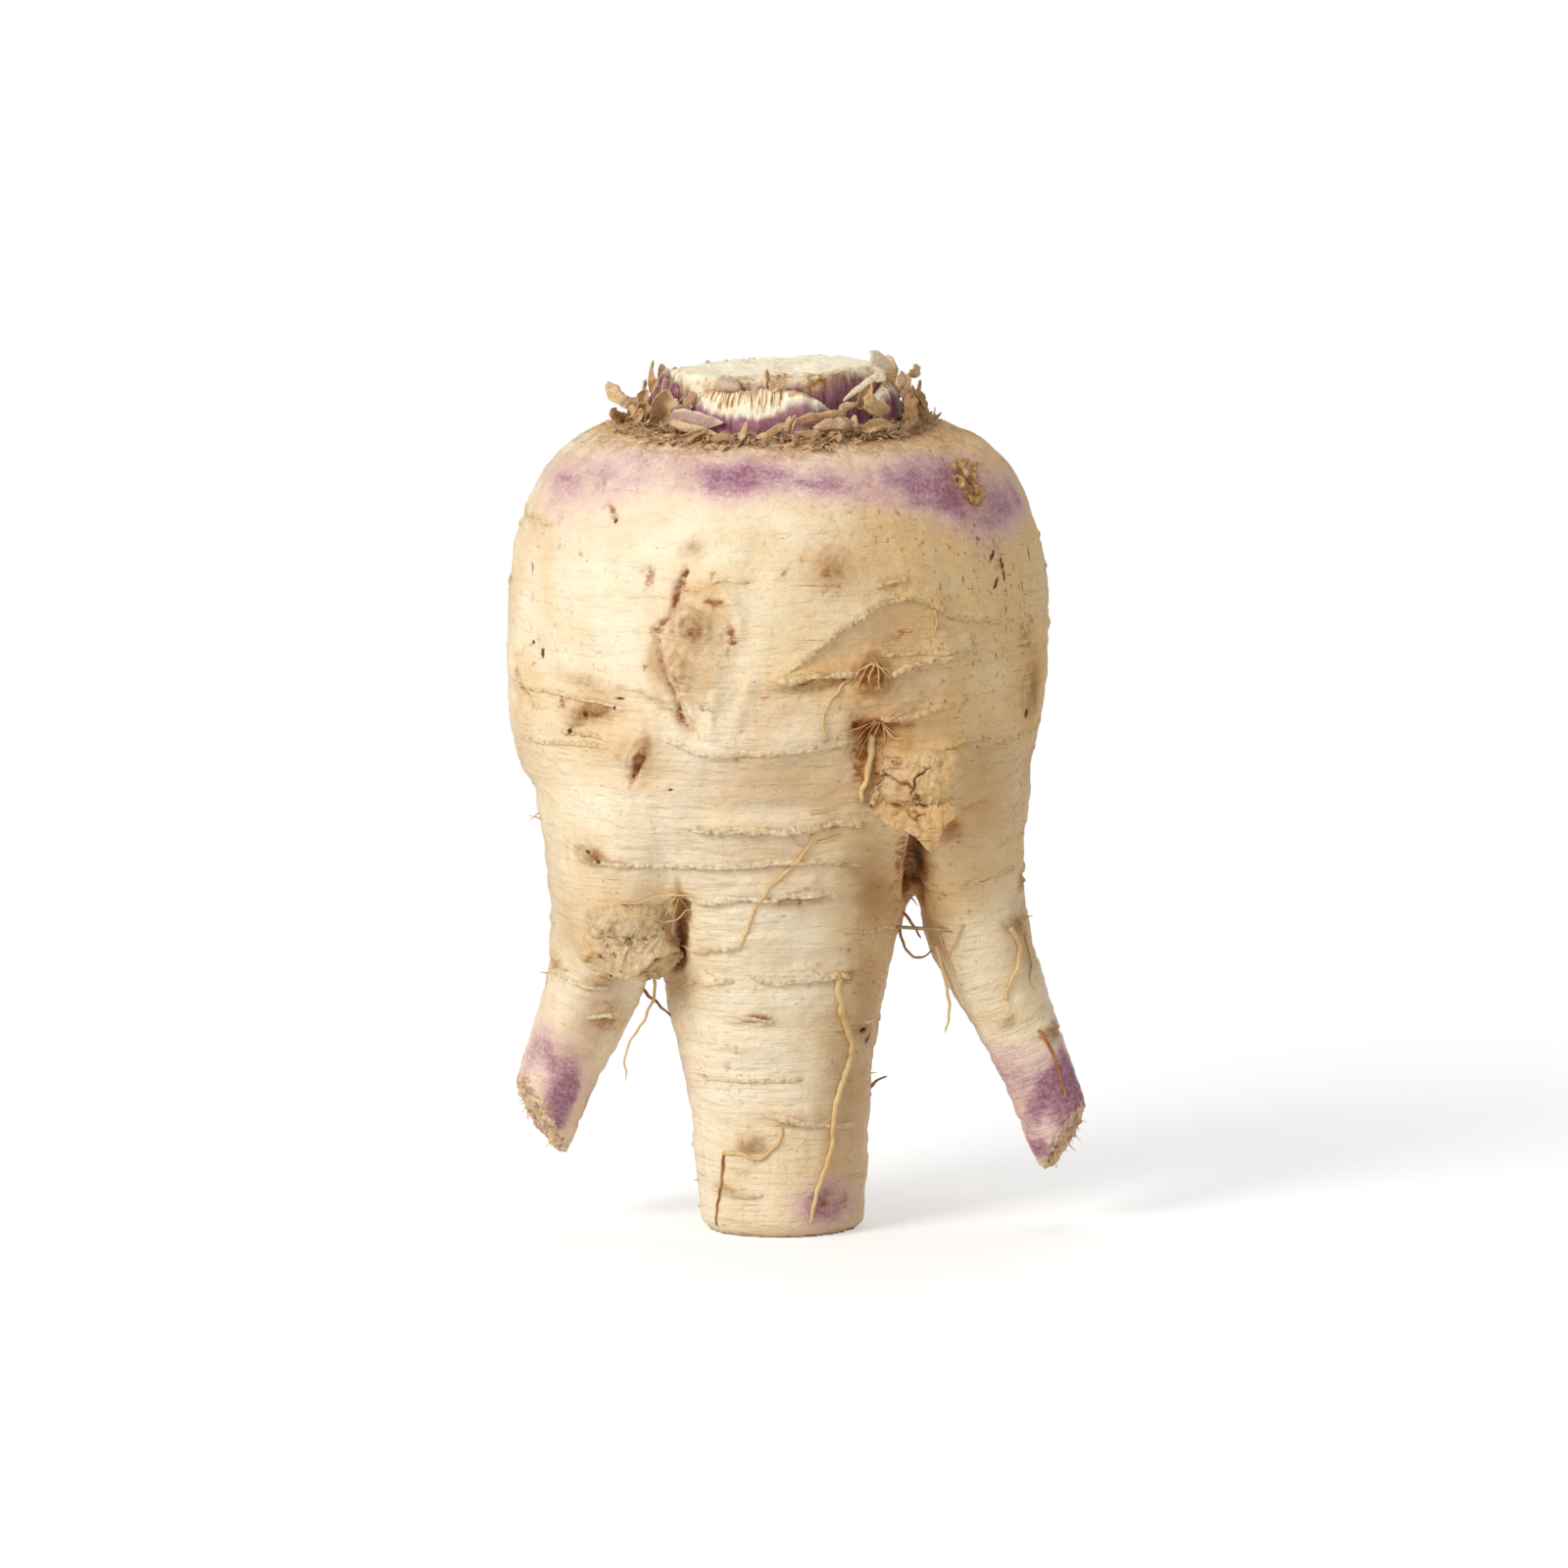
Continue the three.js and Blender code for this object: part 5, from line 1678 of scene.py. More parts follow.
class OBJECT_OT_chicory_skin(bpy.types.Operator):
    """Makes the root's skin with its swellings, creases, rings, lips and stains"""

    bl_idname = "object.chicory_skin"
    bl_label = "Root skin"

    def execute(self, context):
        look, _, _ = settings()
        skin = copy_of("root_body", "root_skin")
        finish_with(skin, "REMESH", mode="VOXEL", voxel_size=ROUGH_QUAD * MM)
        finish_with(skin, "SMOOTH", factor=0.5, iterations=8)
        finish_with(skin, "REMESH", mode="VOXEL", voxel_size=look.quad)
        refine(skin)
        finish_with(skin, "SMOOTH", factor=0.5, iterations=5)
        points, normals = points_of(skin), normals_of(skin)
        lowest = np.where(points[:, 2] < FOOT_BAND, 0.0, 0.02)
        relief, deep, valley = skin_relief(points, normals)
        sawn = np.zeros(len(points))
        for place in (LEFT_CUT, RIGHT_CUT):
            gap, near = past_cut(place, points)
            sawn = np.maximum(sawn, fade(1.2, 0.4, np.abs(gap)) * near)
        tear = 0.5 * noise(points, 1.1, 61) + 0.35 * noise(points, 0.9, 62)
        relief = relief * (1 - sawn) + sawn * tear + 0.3
        relief *= fade(0.3, 3.0, points[:, 2])
        points += normals * relief[:, None]
        points[:, 2] = np.maximum(points[:, 2], lowest)
        points[points[:, 2] < FLAT_FOOT, 2] = 0.0
        put_points(skin, points)
        tree = surface_of(skin)
        lips = LIPS + scattered_lips(tree, np.random.default_rng(11))
        normals = normals_of(skin)
        steps, rim = lip_steps(points, normals, lips)
        points += normals * (steps * fade(1, 4, points[:, 2]))[:, None]
        put_points(skin, points)
        only(skin)
        bpy.ops.object.shade_smooth()
        skin_masks(skin, deep, valley, rim)
        SKIN["tree"] = surface_of(skin)
        for turn, across, height, *_ in PITS:
            PIT_PLACES[(turn, across, height)] = on_skin(SKIN["tree"], turn, across, height)[0]
        dress(skin, material_named("skin"), "skin", "root_body")
        ribbons = lip_ribbons("skin_lips", SKIN["tree"], lips)
        dress(ribbons, material_named("skin"), "skin")
        return {"FINISHED"}


# ---------------------------------------------------------------- bark that has come away
# Each shape: its centre, its outline and its cracks, as places across and height on the front.
TORN_FLAP = {
    "centre": (23.0, 81.8),
    "outline": read_path("""
        13.6 79.6, 15.2 81.4, 16.8 83.4, 18 85, 17.6 86.4, 18.6 88.6, 20.8 90.6, 25.4 91.6, 30.4 90.4,
        33.2 86.4, 33.4 82.4, 31.6 79.8, 29 78.4, 27.7 76.9, 26.6 74.6, 25.9 71.2, 24.8 72.6, 22.8 74.6,
        20.4 76, 18.2 77, 15.8 78"""),
    "cracks": [read_path("17.6 85.4, 20.4 84, 22.2 83.2, 23 84.6, 25.4 86.6"),
               read_path("22.2 83.2, 22.6 81.6, 23 80.2, 25.2 79.4"),
               read_path("18.6 80.4, 21.2 79, 23.6 78.2"),
               read_path("21 79.6, 22.4 77.6, 24.6 78.4")],
}
PEELED_PATCH = {
    "centre": (-26.4, 54.0),
    "outline": read_path("""
        -35.6 59, -35.2 54, -33.6 50.2, -30 47.8, -26.4 46.8, -22 47.4, -18.2 50, -17.6 53.6, -18 58.4,
        -19.8 61.2, -25 62, -31 61.4"""),
    "cracks": [read_path("-24.8 48.6, -22.4 50.6, -20 51.4, -18.2 51.4")],
}
SHOULDER_SCAR = {
    "centre": (31.8, 133.4),
    "outline": read_path("""
        28.6 137.6, 30.6 137.2, 33 136, 34.2 133.4, 35.6 130.2, 34.6 128.6, 32.4 130, 30.6 132.6,
        29.2 134.4"""),
    "cracks": [read_path("29.6 136.4, 31.4 134, 33.6 130.6"),
               read_path("30.8 133.6, 32.6 133.8, 34 132")],
}


def sheet_points(shape, rings, spokes, seed, ragged):
    """Places across and height over a shape, ring by ring from its centre to its ragged rim."""
    centre = np.array(shape["centre"])
    corners = np.array(shape["outline"]) - centre
    turns = np.linspace(0, 2 * math.pi, spokes, endpoint=False)
    rays = beside(np.cos(turns), np.sin(turns))
    reach = np.zeros(spokes)
    for a, b in zip(corners, np.roll(corners, -1, axis=0)):
        edge = b - a
        bottom = rays[:, 0] * edge[1] - rays[:, 1] * edge[0]
        bottom = np.where(np.abs(bottom) < 1e-9, 1e-9, bottom)
        far = (a[0] * edge[1] - a[1] * edge[0]) / bottom
        along = (a[0] * rays[:, 1] - a[1] * rays[:, 0]) / bottom
        reach = np.where((far > 0) & (along >= 0) & (along <= 1), np.maximum(reach, far), reach)
    rim = beside(rays[:, 0] * reach, rays[:, 1] * reach, 0)
    reach = reach + ragged * (noise(rim, 1.6, seed) + 0.6 * noise(rim, 0.6, seed + 1))
    shares = np.linspace(0, 1, rings + 1)[1:] ** 0.9
    flat = (shares[:, None, None] * reach[None, :, None] * rays[None]).reshape(-1, 2) + centre
    flat = np.vstack([centre, flat])
    share = np.concatenate([[0], np.repeat(shares, spokes)])
    faces = [(0, 1 + (j + 1) % spokes, 1 + j) for j in range(spokes)]
    faces += [tuple(1 + c for c in face)[::-1] for face in strip_faces(rings, spokes, closed=True)]
    return flat, share, faces


def crack_depth(flat, cracks, half_width):
    """1 in the middle of each crack and falling away beside it."""
    deep = np.zeros(len(flat))
    for path in cracks:
        gap, place, _ = from_path(flat, path)
        deep = np.maximum(deep, bell(gap / half_width) * inside_ends(place, 0.08))
    return deep


def bark_sheet(name, shape, tree, lift, relief, merging, dusk, cork, lowest, thickness, seed,
               rings=36, spokes=200, ragged=0.35):
    """A piece of bark over the front of the skin. Lift and relief say how far each place stands off, merging
    where it runs into the skin, the function after merging how much painted shade it gets, and cork how
    corky it is; below lowest it hangs free."""
    flat, share, faces = sheet_points(shape, rings, spokes, seed, ragged)
    marks = beside(flat[:, 0], 0, flat[:, 1])
    wavy = flat + 0.4 * beside(noise(marks, 1.4, seed + 2), noise(marks, 1.4, seed + 3))
    deep = crack_depth(wavy, shape["cracks"], 0.2)
    out = lift(flat, share) + relief(flat, marks) - 0.6 * deep
    points = []
    for (across, height), far in zip(flat, out):
        place, normal = on_skin(tree, SIDES["front"], across, max(height, lowest))
        ahead = place + normal * far
        below = max(0.0, lowest - height)
        points.append((ahead[0], ahead[1] - 0.1 * below, height if below else ahead[2]))
    piece = new_mesh(name, points, faces)
    fine = noise(marks, 1.3, seed + 4)
    own = 1 - merging(flat)
    # Rust and dark down each crack's middle: crack colour and painted shade in it. The free rim is made
    # paler.
    skin_like(piece, dark=0.25 * fade(0.6, 1.0, deep), tan=own * (0.4 + 0.25 * fine),
              rust=0.8 * fade(0.05, 0.7, deep) + 0.35 * own * fade(0.2, 0.7, fine),
              wash=(0.3 + 0.7 * own) * (0.5 + 0.3 * noise(marks, 3.0, seed + 5)),
              cork=own * (cork + 0.4 * fine), dusk=dusk(flat), warm=-0.25 * own * fade(0.94, 1.0, share))
    finish_with(piece, "SOLIDIFY", thickness=thickness * MM, offset=-1)
    return piece


class OBJECT_OT_chicory_bark(bpy.types.Operator):
    """Adds the torn flap, the wrinkled peeled patch and the scar on the shoulder"""

    bl_idname = "object.chicory_bark"
    bl_label = "Torn bark"

    def execute(self, context):
        tree = SKIN["tree"]

        def flap_lift(flat, share):
            free = fade(90.0, 87.0, flat[:, 1]) * fade(31.5, 28.5, flat[:, 0])
            merged = -0.45 + 1.1 * fade(1.0, 0.4, share)
            stood = 1.3 + 0.5 * fade(0.5, 1.0, share)
            hollow = spot(flat, 22.0, 79.4, 3.6, 1.8, -10)
            return merged * (1 - free) + stood * free - 0.7 * hollow

        def flap_relief(flat, marks):
            fan = beside(np.arctan2(flat[:, 1] - 93, flat[:, 0] - 27) * 16, 0, flat[:, 1] * 0.1)
            return 0.16 * noise(fan, 0.8, 74) + 0.3 * noise(marks, 3.2, 75) + 0.08 * noise(marks, 0.8, 76)

        def flap_merging(flat):
            return 1 - fade(90, 86, flat[:, 1]) * fade(32, 27, flat[:, 0])

        # Painted shade: darker towards the flap's left and its lower tip.
        def flap_shade_and_stain(flat):
            return 0.15 + 0.3 * fade(25, 15, flat[:, 0]) + 0.25 * fade(77, 72, flat[:, 1])

        flap = bark_sheet("torn_bark_flap_sheet", TORN_FLAP, tree, flap_lift, flap_relief, flap_merging,
                          flap_shade_and_stain, cork=0.05, lowest=80.5, thickness=0.8, seed=71)
        dress(flap, material_named("skin"), "bark", "torn_bark_flap")

        def patch_lift(flat, share):
            free = fade(54.5, 51.0, flat[:, 1])
            merged = -0.45 + 1.7 * fade(1.0, 0.55, share)
            roll = bell((share - 0.9) / 0.08)
            return merged * (1 - free) + free * (1.5 + 0.8 * roll)

        def patch_relief(flat, marks):
            across = flat[:, 0] * 0.89 - flat[:, 1] * 0.46 + 0.5 * noise(marks, 3.4, 81)
            down = flat[:, 0] * 0.46 + flat[:, 1] * 0.89
            wave = beside(across, 0, down)
            pleats = 1 - 2.0 * np.abs(noise(wave, (1.0, 1, 12), 82)) + 0.6 * noise(wave, (0.5, 1, 5), 83)
            spoon = spot(flat, -20.8, 49.6, 2.6, 1.2, 14)
            brow = from_path(flat, read_path("-25.5 49.2, -22.8 51.4, -20.4 52.2, -18.6 51.9"))[0]
            return 0.2 * pleats * (1 - spoon) - 0.7 * spoon + 0.6 * bell(brow / 0.5)

        def patch_merging(flat):
            return 0.8 * fade(-32, -36, flat[:, 0])

        # Painted shade: darker towards the patch's right-hand edge.
        def patch_shade_and_stain(flat):
            return 0.15 + 0.4 * fade(-22, -18, flat[:, 0])

        patch = bark_sheet("peeled_bark_sheet", PEELED_PATCH, tree, patch_lift, patch_relief, patch_merging,
                           patch_shade_and_stain, cork=0.1, lowest=48.4, thickness=0.6, seed=84)
        dress(patch, material_named("skin"), "bark", "peeled_bark_patch")

        def scar_lift(flat, share):
            return -0.3 + 0.6 * fade(1.0, 0.7, share)

        def scar_relief(flat, marks):
            across, down = flat[:, 0] * 0.7, flat[:, 1] * 0.7
            slanted = beside(across + down, 0, down - across)
            return 0.7 * noise(slanted, (0.8, 1, 2.6), 91) + 0.3 * noise(marks, 0.6, 92)

        scar = bark_sheet("shoulder_scar", SHOULDER_SCAR, tree, scar_lift, scar_relief, lambda flat: 0.0,
                          lambda flat: 0.2, cork=0.25, lowest=100, thickness=0.5, seed=93,
                          rings=16, spokes=100, ragged=0.6)
        put_mask(scar, "rust", 0.5 + 0.8 * noise(points_of(scar), 1.1, 94))
        dress(scar, material_named("bark"), "bark")
        return {"FINISHED"}


# ---------------------------------------------------------------- the crown
# How finely the cut face is divided round its middle, the rings that the litter starts from, and its shreds.
FLESH_SPOKES = 240
CRUMB_RING = 21.6
SHRED_RING = 21.8
SHREDS = 520


def profile(pairs, shares):
    """Heights at the given shares of a run, eased between the given pairs of share and height."""
    known = np.array(pairs, float)
    heights = np.interp(shares, known[:, 0], known[:, 1])
    for _ in range(3):
        heights[1:-1] = 0.25 * heights[:-2] + 0.5 * heights[1:-1] + 0.25 * heights[2:]
    return heights


def round_crown(turns, radii, heights):
    """Points round the crown's axis, from turns in degrees."""
    a, radii, heights = np.broadcast_arrays(np.radians(turns), radii, heights)
    return np.stack([CROWN[0] + radii * np.sin(a), CROWN[1] - radii * np.cos(a), CROWN[2] + heights], axis=-1)


class OBJECT_OT_chicory_flesh(bpy.types.Operator):
    """Adds the cut flesh in the middle of the crown, with its ragged rim and porous top"""

    bl_idname = "object.chicory_flesh"
    bl_label = "Cut crown"

    def execute(self, context):
        turns = np.linspace(-180, 180, FLESH_SPOKES, endpoint=False)
        ring = round_crown(turns, 17.0, 0)
        ragged = 0.55 * noise(ring, 3.4, 101) + 0.35 * noise(ring, 1.2, 102)
        rows = [(17.0, -0.4, 0), (17.1, 1.6, 0), (17.2, 3.2, 0.3), (17.3, 4.6, 0.7), (17.4, 5.6, 1),
                (17.5, 6.4, 1), (17.5, 7.0, 1), (17.4, 7.5, 1), (17.2, 7.9, 1), (16.8, 8.1, 1)]
        rows += [(16.8 * share, FLESH_TOP, 0.8 * share) for share in np.linspace(0.975, 0.03, 36)]
        points = []
        for radius, height, loose in rows:
            uneven = min(1.0, radius / 15) ** 2 if height > 4 else 0
            level = height + 0.5 * uneven * noise(ring, 4.0, 103)
            points.append(round_crown(turns, radius + loose * ragged, level))
        points = np.vstack([np.concatenate(points), round_crown(np.zeros(1), 0.0, FLESH_TOP)])
        top = fade(5.0, FLESH_TOP, points[:, 2] - CROWN[2])
        inner = np.linalg.norm(points[:, :2] - CROWN[:2], axis=1)
        grains = 0.3 * noise(points, 3.6, 104) + 0.16 * noise(points, 1.1, 105)
        grains += 0.1 * noise(points, 0.55, 106)
        tilt = 0.042 * (points[:, 0] - CROWN[0]) - 0.024 * (points[:, 1] - CROWN[1])
        points[:, 2] += top * (grains + tilt + 0.2 * fade(10, 16, inner) - 0.1)
        out = (points[:, :2] - CROWN[:2]) / np.maximum(inner, 1)[:, None]
        side = (1 - top) * fade(2.5, 5, points[:, 2] - CROWN[2])
        pores = 0.4 * noise(points, (1.6, 1.6, 3.0), 107) + 0.2 * noise(points, 0.7, 108)
        points[:, :2] += out * (side * pores)[:, None]
        faces = strip_faces(len(rows), FLESH_SPOKES, closed=True)
        last = (len(rows) - 1) * FLESH_SPOKES
        faces += [(last + j, last + (j + 1) % FLESH_SPOKES, len(points) - 1) for j in range(FLESH_SPOKES)]
        faces.append(tuple(reversed(range(FLESH_SPOKES))))
        piece = new_mesh("crown_flesh", points, faces)
        places = points_of(piece)
        flat = beside(places[:, 0], places[:, 2])
        near = fade(-11.5, -14.0, places[:, 1] + 0.6 * noise(places, 1.2, 112))
        sap = 1.2 * spot(places, 6.6, -16.0, 1.7, 2.6, 0) + 0.8 * spot(places, 1.4, -17.4, 3.0, 1.4, 0)
        sap += near * sum(strength * spot(flat, *place) for *place, strength in SAP)
        away = np.linalg.norm(places[:, :2] - CROWN[:2], axis=1)
        sap += 0.25 * fade(0.3, 0.8, noise(places, 2.4, 109)) * fade(9, 16, away)
        put_mask(piece, "sap", sap)
        put_mask(piece, "rust", 0.6 * fade(0.55, 0.9, noise(places, 1.8, 110)) * (inner > 15))
        put_mask(piece, "violet", fade(3.6, 2.0, places[:, 2] - CROWN[2] + 0.8 * noise(places, 1.5, 111)))
        dress(piece, material_named("flesh"), "cut_flesh", "crown_core")
        return {"FINISHED"}


def stalk_base(node, turn, span, foot, outer, inner, dried, torn, scar_start, scar_end, low, high, seed):
    """A leaf stalk's foot: a wall round part of the crown, thin at its ends, torn along its slanting top."""
    columns = max(40, int(span * 1.5))
    shares = np.linspace(0, 1, columns)
    turns = turn + span * (shares - 0.5)
    ends = np.sqrt(np.clip(1 - (2 * shares - 1) ** 6, 0, 1))
    marks = round_crown(turns, outer, 0)
    jag = 0.55 * noise(marks, 1.5, seed) + 0.45 * noise(marks, 0.6, seed + 1)
    rim_low = profile(low, shares) + jag * torn
    rim_high = np.maximum(profile(high, shares) + 0.3 * noise(marks, 1.9, seed + 2), rim_low + 0.25)
    wave = 0.35 * noise(marks, 5.0, seed + 3)
    thin = 0.25 + 0.75 * ends
    out_foot, out_rim, in_rim = foot + wave, outer + wave, inner + wave
    middle = (out_rim + in_rim) / 2
    out_foot, out_rim, in_rim = (middle + (r - middle) * thin for r in (out_foot, out_rim, in_rim))
    rows, kinds = [], []
    for t in np.linspace(0, 1, 9):
        bulge = 0.5 * math.sin(math.pi * t)
        radii = out_foot + (out_rim - out_foot) * t + bulge * thin
        rows.append(round_crown(turns, radii, -0.8 + (rim_low + 0.8) * t))
        kinds.append(("skin", t))
    for t in np.linspace(0.12, 1, 9):
        heights = rim_low + (rim_high - rim_low) * t**0.8
        rows.append(round_crown(turns, out_rim + (in_rim + 0.35 - out_rim) * t, heights))
        kinds.append(("scar", t))
    for t in np.linspace(0.0, 1, 6):
        rows.append(round_crown(turns, in_rim - 0.05, rim_high * (1 - t) - 0.8 * t))
        kinds.append(("inside", t))
    points = np.concatenate(rows)
    count = len(rows)
    where = np.tile(shares, count)
    part = np.repeat([kind for kind, _ in kinds], columns)
    t_all = np.repeat([t for _, t in kinds], columns)
    in_scar = (part == "scar") & (where > scar_start) & (where < scar_end)
    across_rim = np.radians(turn + span * (where - 0.5)) * 19
    threads = noise(beside(across_rim, t_all * 0.6, 0), (0.55, 1, 1), seed + 4)
    out = points[:, :2] - CROWN[:2]
    out /= np.linalg.norm(out, axis=1)[:, None]
    ridges = 0.4 * noise(points, (2.2, 2.2, 6), seed + 5) * (part == "skin") + 0.3 * threads * in_scar
    points[:, :2] += out * ridges[:, None]
    points[:, 2] += 0.35 * threads * in_scar * t_all
    faces = [face[::-1] for face in strip_faces(count, columns)]
    bottom = [(count - 1) * columns + j for j in range(columns)]
    faces += [(j, bottom[j], bottom[j + 1], j + 1) for j in range(columns - 1)]
    faces.append(tuple(i * columns for i in range(count)))
    faces.append(tuple(i * columns + columns - 1 for i in reversed(range(count))))
    piece = new_mesh(node + "_torn", points, faces)
    fringe = noise(points, (0.8, 0.8, 3.0), seed + 6)
    white = (part == "scar") * fade(0.0, 0.5, 1.1 - 0.4 * t_all)
    white = white + (part == "skin") * fade(1 - 0.3 * torn, 1.0, t_all + 0.1 * fringe)
    white = np.maximum(white * min(1.0, 0.5 + torn), (part == "inside") * 0.6)
    put_mask(piece, "torn", white)
    scar = in_scar * fade(0.05, 0.3, t_all + 0.3 * fringe)
    scar = scar * fade(scar_start, scar_start + 0.06, where) * fade(scar_end, scar_end - 0.06, where)
    put_mask(piece, "scar", 1.2 * scar)
    dry = (part == "scar") * fade(0.78, 0.95, t_all + 0.08 * fringe)
    dry = dried * (dry + (part == "inside") * fade(0.4, 0.0, t_all))
    bare = (part == "scar") & ~in_scar
    dry = np.maximum(dry, dried * bare * fade(0.0, 0.3, t_all) * fade(0.45, 0.62, where))
    put_mask(piece, "dry", dry)
    front = beside(points[:, 0], points[:, 2] + 0.5 * fringe)
    sap = sum(strength * spot(front, *place) for *place, strength in SAP) * (points[:, 1] < 0)
    put_mask(piece, "sap", sap)
    arc = np.tile(np.radians(turns) * outer, count)
    along = np.where(part == "scar", rim_low.mean() + 3.5 * t_all, points[:, 2] - CROWN[2])
    put_vector(piece, "veins", beside(along, 0, arc + 0.12 * fringe))
    put_mask(piece, "pale", (part == "skin") * 0.5 * fade(0.35, 0.0, t_all) * fade(-0.4, 0.6, fringe))
    return piece


class OBJECT_OT_chicory_stalks(bpy.types.Operator):
    """Adds the torn feet of the cut leaf stalks round the crown"""

    bl_idname = "object.chicory_stalks"
    bl_label = "Leaf stalk bases"

    def execute(self, context):
        for number, (node, *values) in enumerate(STALKS):
            piece = stalk_base(node, *values, 200 + 20 * number)
            dress(piece, material_named("stalk"), "stalk", node)
        return {"FINISHED"}


def leaf(length, width, curl, seed, across=11, along=24, calm=0.0):
    """A dry leaf scale, rolled, twirled and curled: its points, faces, and shares across and along."""
    u, v = np.meshgrid(np.linspace(-1, 1, across), np.linspace(0, 1, along))
    u, v = u.ravel(), v.ravel()
    rng = np.random.default_rng(seed)
    loose = 1 - 0.8 * calm
    marks = beside(u * width / 2, v * length, 7.3 * seed)
    edge_marks = beside(np.sign(u) * 5, v * length, 3.1 * seed)
    blunt = rng.uniform(0.2, 1) * (1 - 0.3 * calm)
    shares, halves = [0, 0.12, 0.38, 0.62, 0.82, 0.94, 1], [0.4, 0.75, 1, 0.86]
    halves += [0.5 + 0.34 * blunt, 0.18 + 0.42 * blunt, 0.02 + 0.2 * blunt]
    half = 0.5 * width * np.interp(v, shares, halves)
    half *= 1 + loose * (0.26 * noise(edge_marks, 1.5, seed) + 0.22 * noise(edge_marks, 0.45, seed + 4))
    opening = np.radians(rng.uniform(56, 96) * (1 - 0.45 * calm)) * (1 - 0.3 * v)
    hollow = (1.3 if rng.random() < 0.6 else -1.0) if calm < 0.4 else -1.0
    x = half * np.sin(u * opening) / np.sin(opening)
    y = hollow * half * (np.cos(u * opening) - np.cos(opening)) / np.sin(opening)
    turn = np.radians(rng.uniform(-70, 70) * loose) * (v - 0.35)
    turn = turn + 0.5 * loose * noise(marks * (0, 1, 1), 3.0, seed + 6)
    x, y = x * np.cos(turn) - y * np.sin(turn), x * np.sin(turn) + y * np.cos(turn)
    y += loose * (0.3 * noise(marks, 1.3, seed + 2) + 0.14 * noise(marks, (0.45, 1.6, 1), seed + 3))
    sway = 0.25 * width * loose * noise(beside(v * length, 0, seed), 3.5, seed + 1)
    bend = math.radians(curl if abs(curl) > 3 else 3)
    theta = bend * v**1.4
    z = length / bend * np.sin(theta)
    y += length / bend * (1 - np.cos(theta))
    return beside(x + sway, y, z), strip_faces(along, across), u, v


def turning(axis, angle):
    """The matrix that turns places about an axis by an angle."""
    a, b = {"x": (1, 2), "y": (2, 0), "z": (0, 1)}[axis]
    matrix = np.eye(3)
    matrix[a, a] = matrix[b, b] = math.cos(angle)
    matrix[b, a] = math.sin(angle)
    matrix[a, b] = -math.sin(angle)
    return matrix


def set_round_crown(points, turn, lean, twist, roll, beyond, lift):
    """Turns a leaf from its upright place to its own round the crown; lean is outwards, roll to its right."""
    twist, lean, roll, turn = (math.radians(angle) for angle in (twist, lean, roll, turn))
    upright = turning("y", roll) @ turning("x", lean) @ turning("z", twist)
    placed = (upright @ points.T).T + np.array([0, -CROWN_RIM - beyond, lift])
    return (turning("z", turn) @ placed.T).T + CROWN


def leaf_masks(piece, lilac, brown, pale, u, v, length, width, seed):
    """Writes the masks of leaf scales, whose shares across and along are u and v."""
    fine = noise(points_of(piece), 1.1, seed + 5)
    edge = fade(0.72, 1.0, np.abs(u)) + fade(0.86, 1.0, v)
    put_mask(piece, "lilac", lilac * (1.0 + 0.3 * fine - 0.35 * edge))
    put_mask(piece, "brown", brown + 0.3 * fade(0.1, 0.7, fine) + 0.5 * fade(0.3, 0.0, v))
    put_mask(piece, "pale", 0.8 * pale + np.clip(edge, 0, 1) * (0.6 if lilac > 0.6 else 0.15), 0.9)
    put_vector(piece, "veins", beside(v * length, 0, u * width / 2 + 0.2 * fine))


class OBJECT_OT_chicory_scales(bpy.types.Operator):
    """Adds the dry leaf scales round the crown, each curled in its own way"""

    bl_idname = "object.chicory_scales"
    bl_label = "Dry scales"

    def execute(self, context):
        nodes = sorted(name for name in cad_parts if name.startswith("dry_scale_"))
        for number, scale in enumerate(SCALES, 1):
            turn, length, width, lean, twist, roll, beyond, lift, curl, brown, lilac, pale = scale
            calm = max(lilac, 0.7 * pale)
            points, faces, u, v = leaf(length, width, curl, 300 + number, calm=calm)
            points = set_round_crown(points, turn, lean, twist, roll, beyond, lift)
            piece = new_mesh(f"dry_scale_leaf_{number:02d}", points, faces)
            leaf_masks(piece, lilac, brown, pale, u, v, length, width, 300 + number)
            finish_with(piece, "SOLIDIFY", thickness=0.17 * MM, offset=0)
            finish_with(piece, "SUBSURF", levels=1)
            dress(piece, material_named("scale"), "dry_scale", *nodes[number - 1:number])
        return {"FINISHED"}


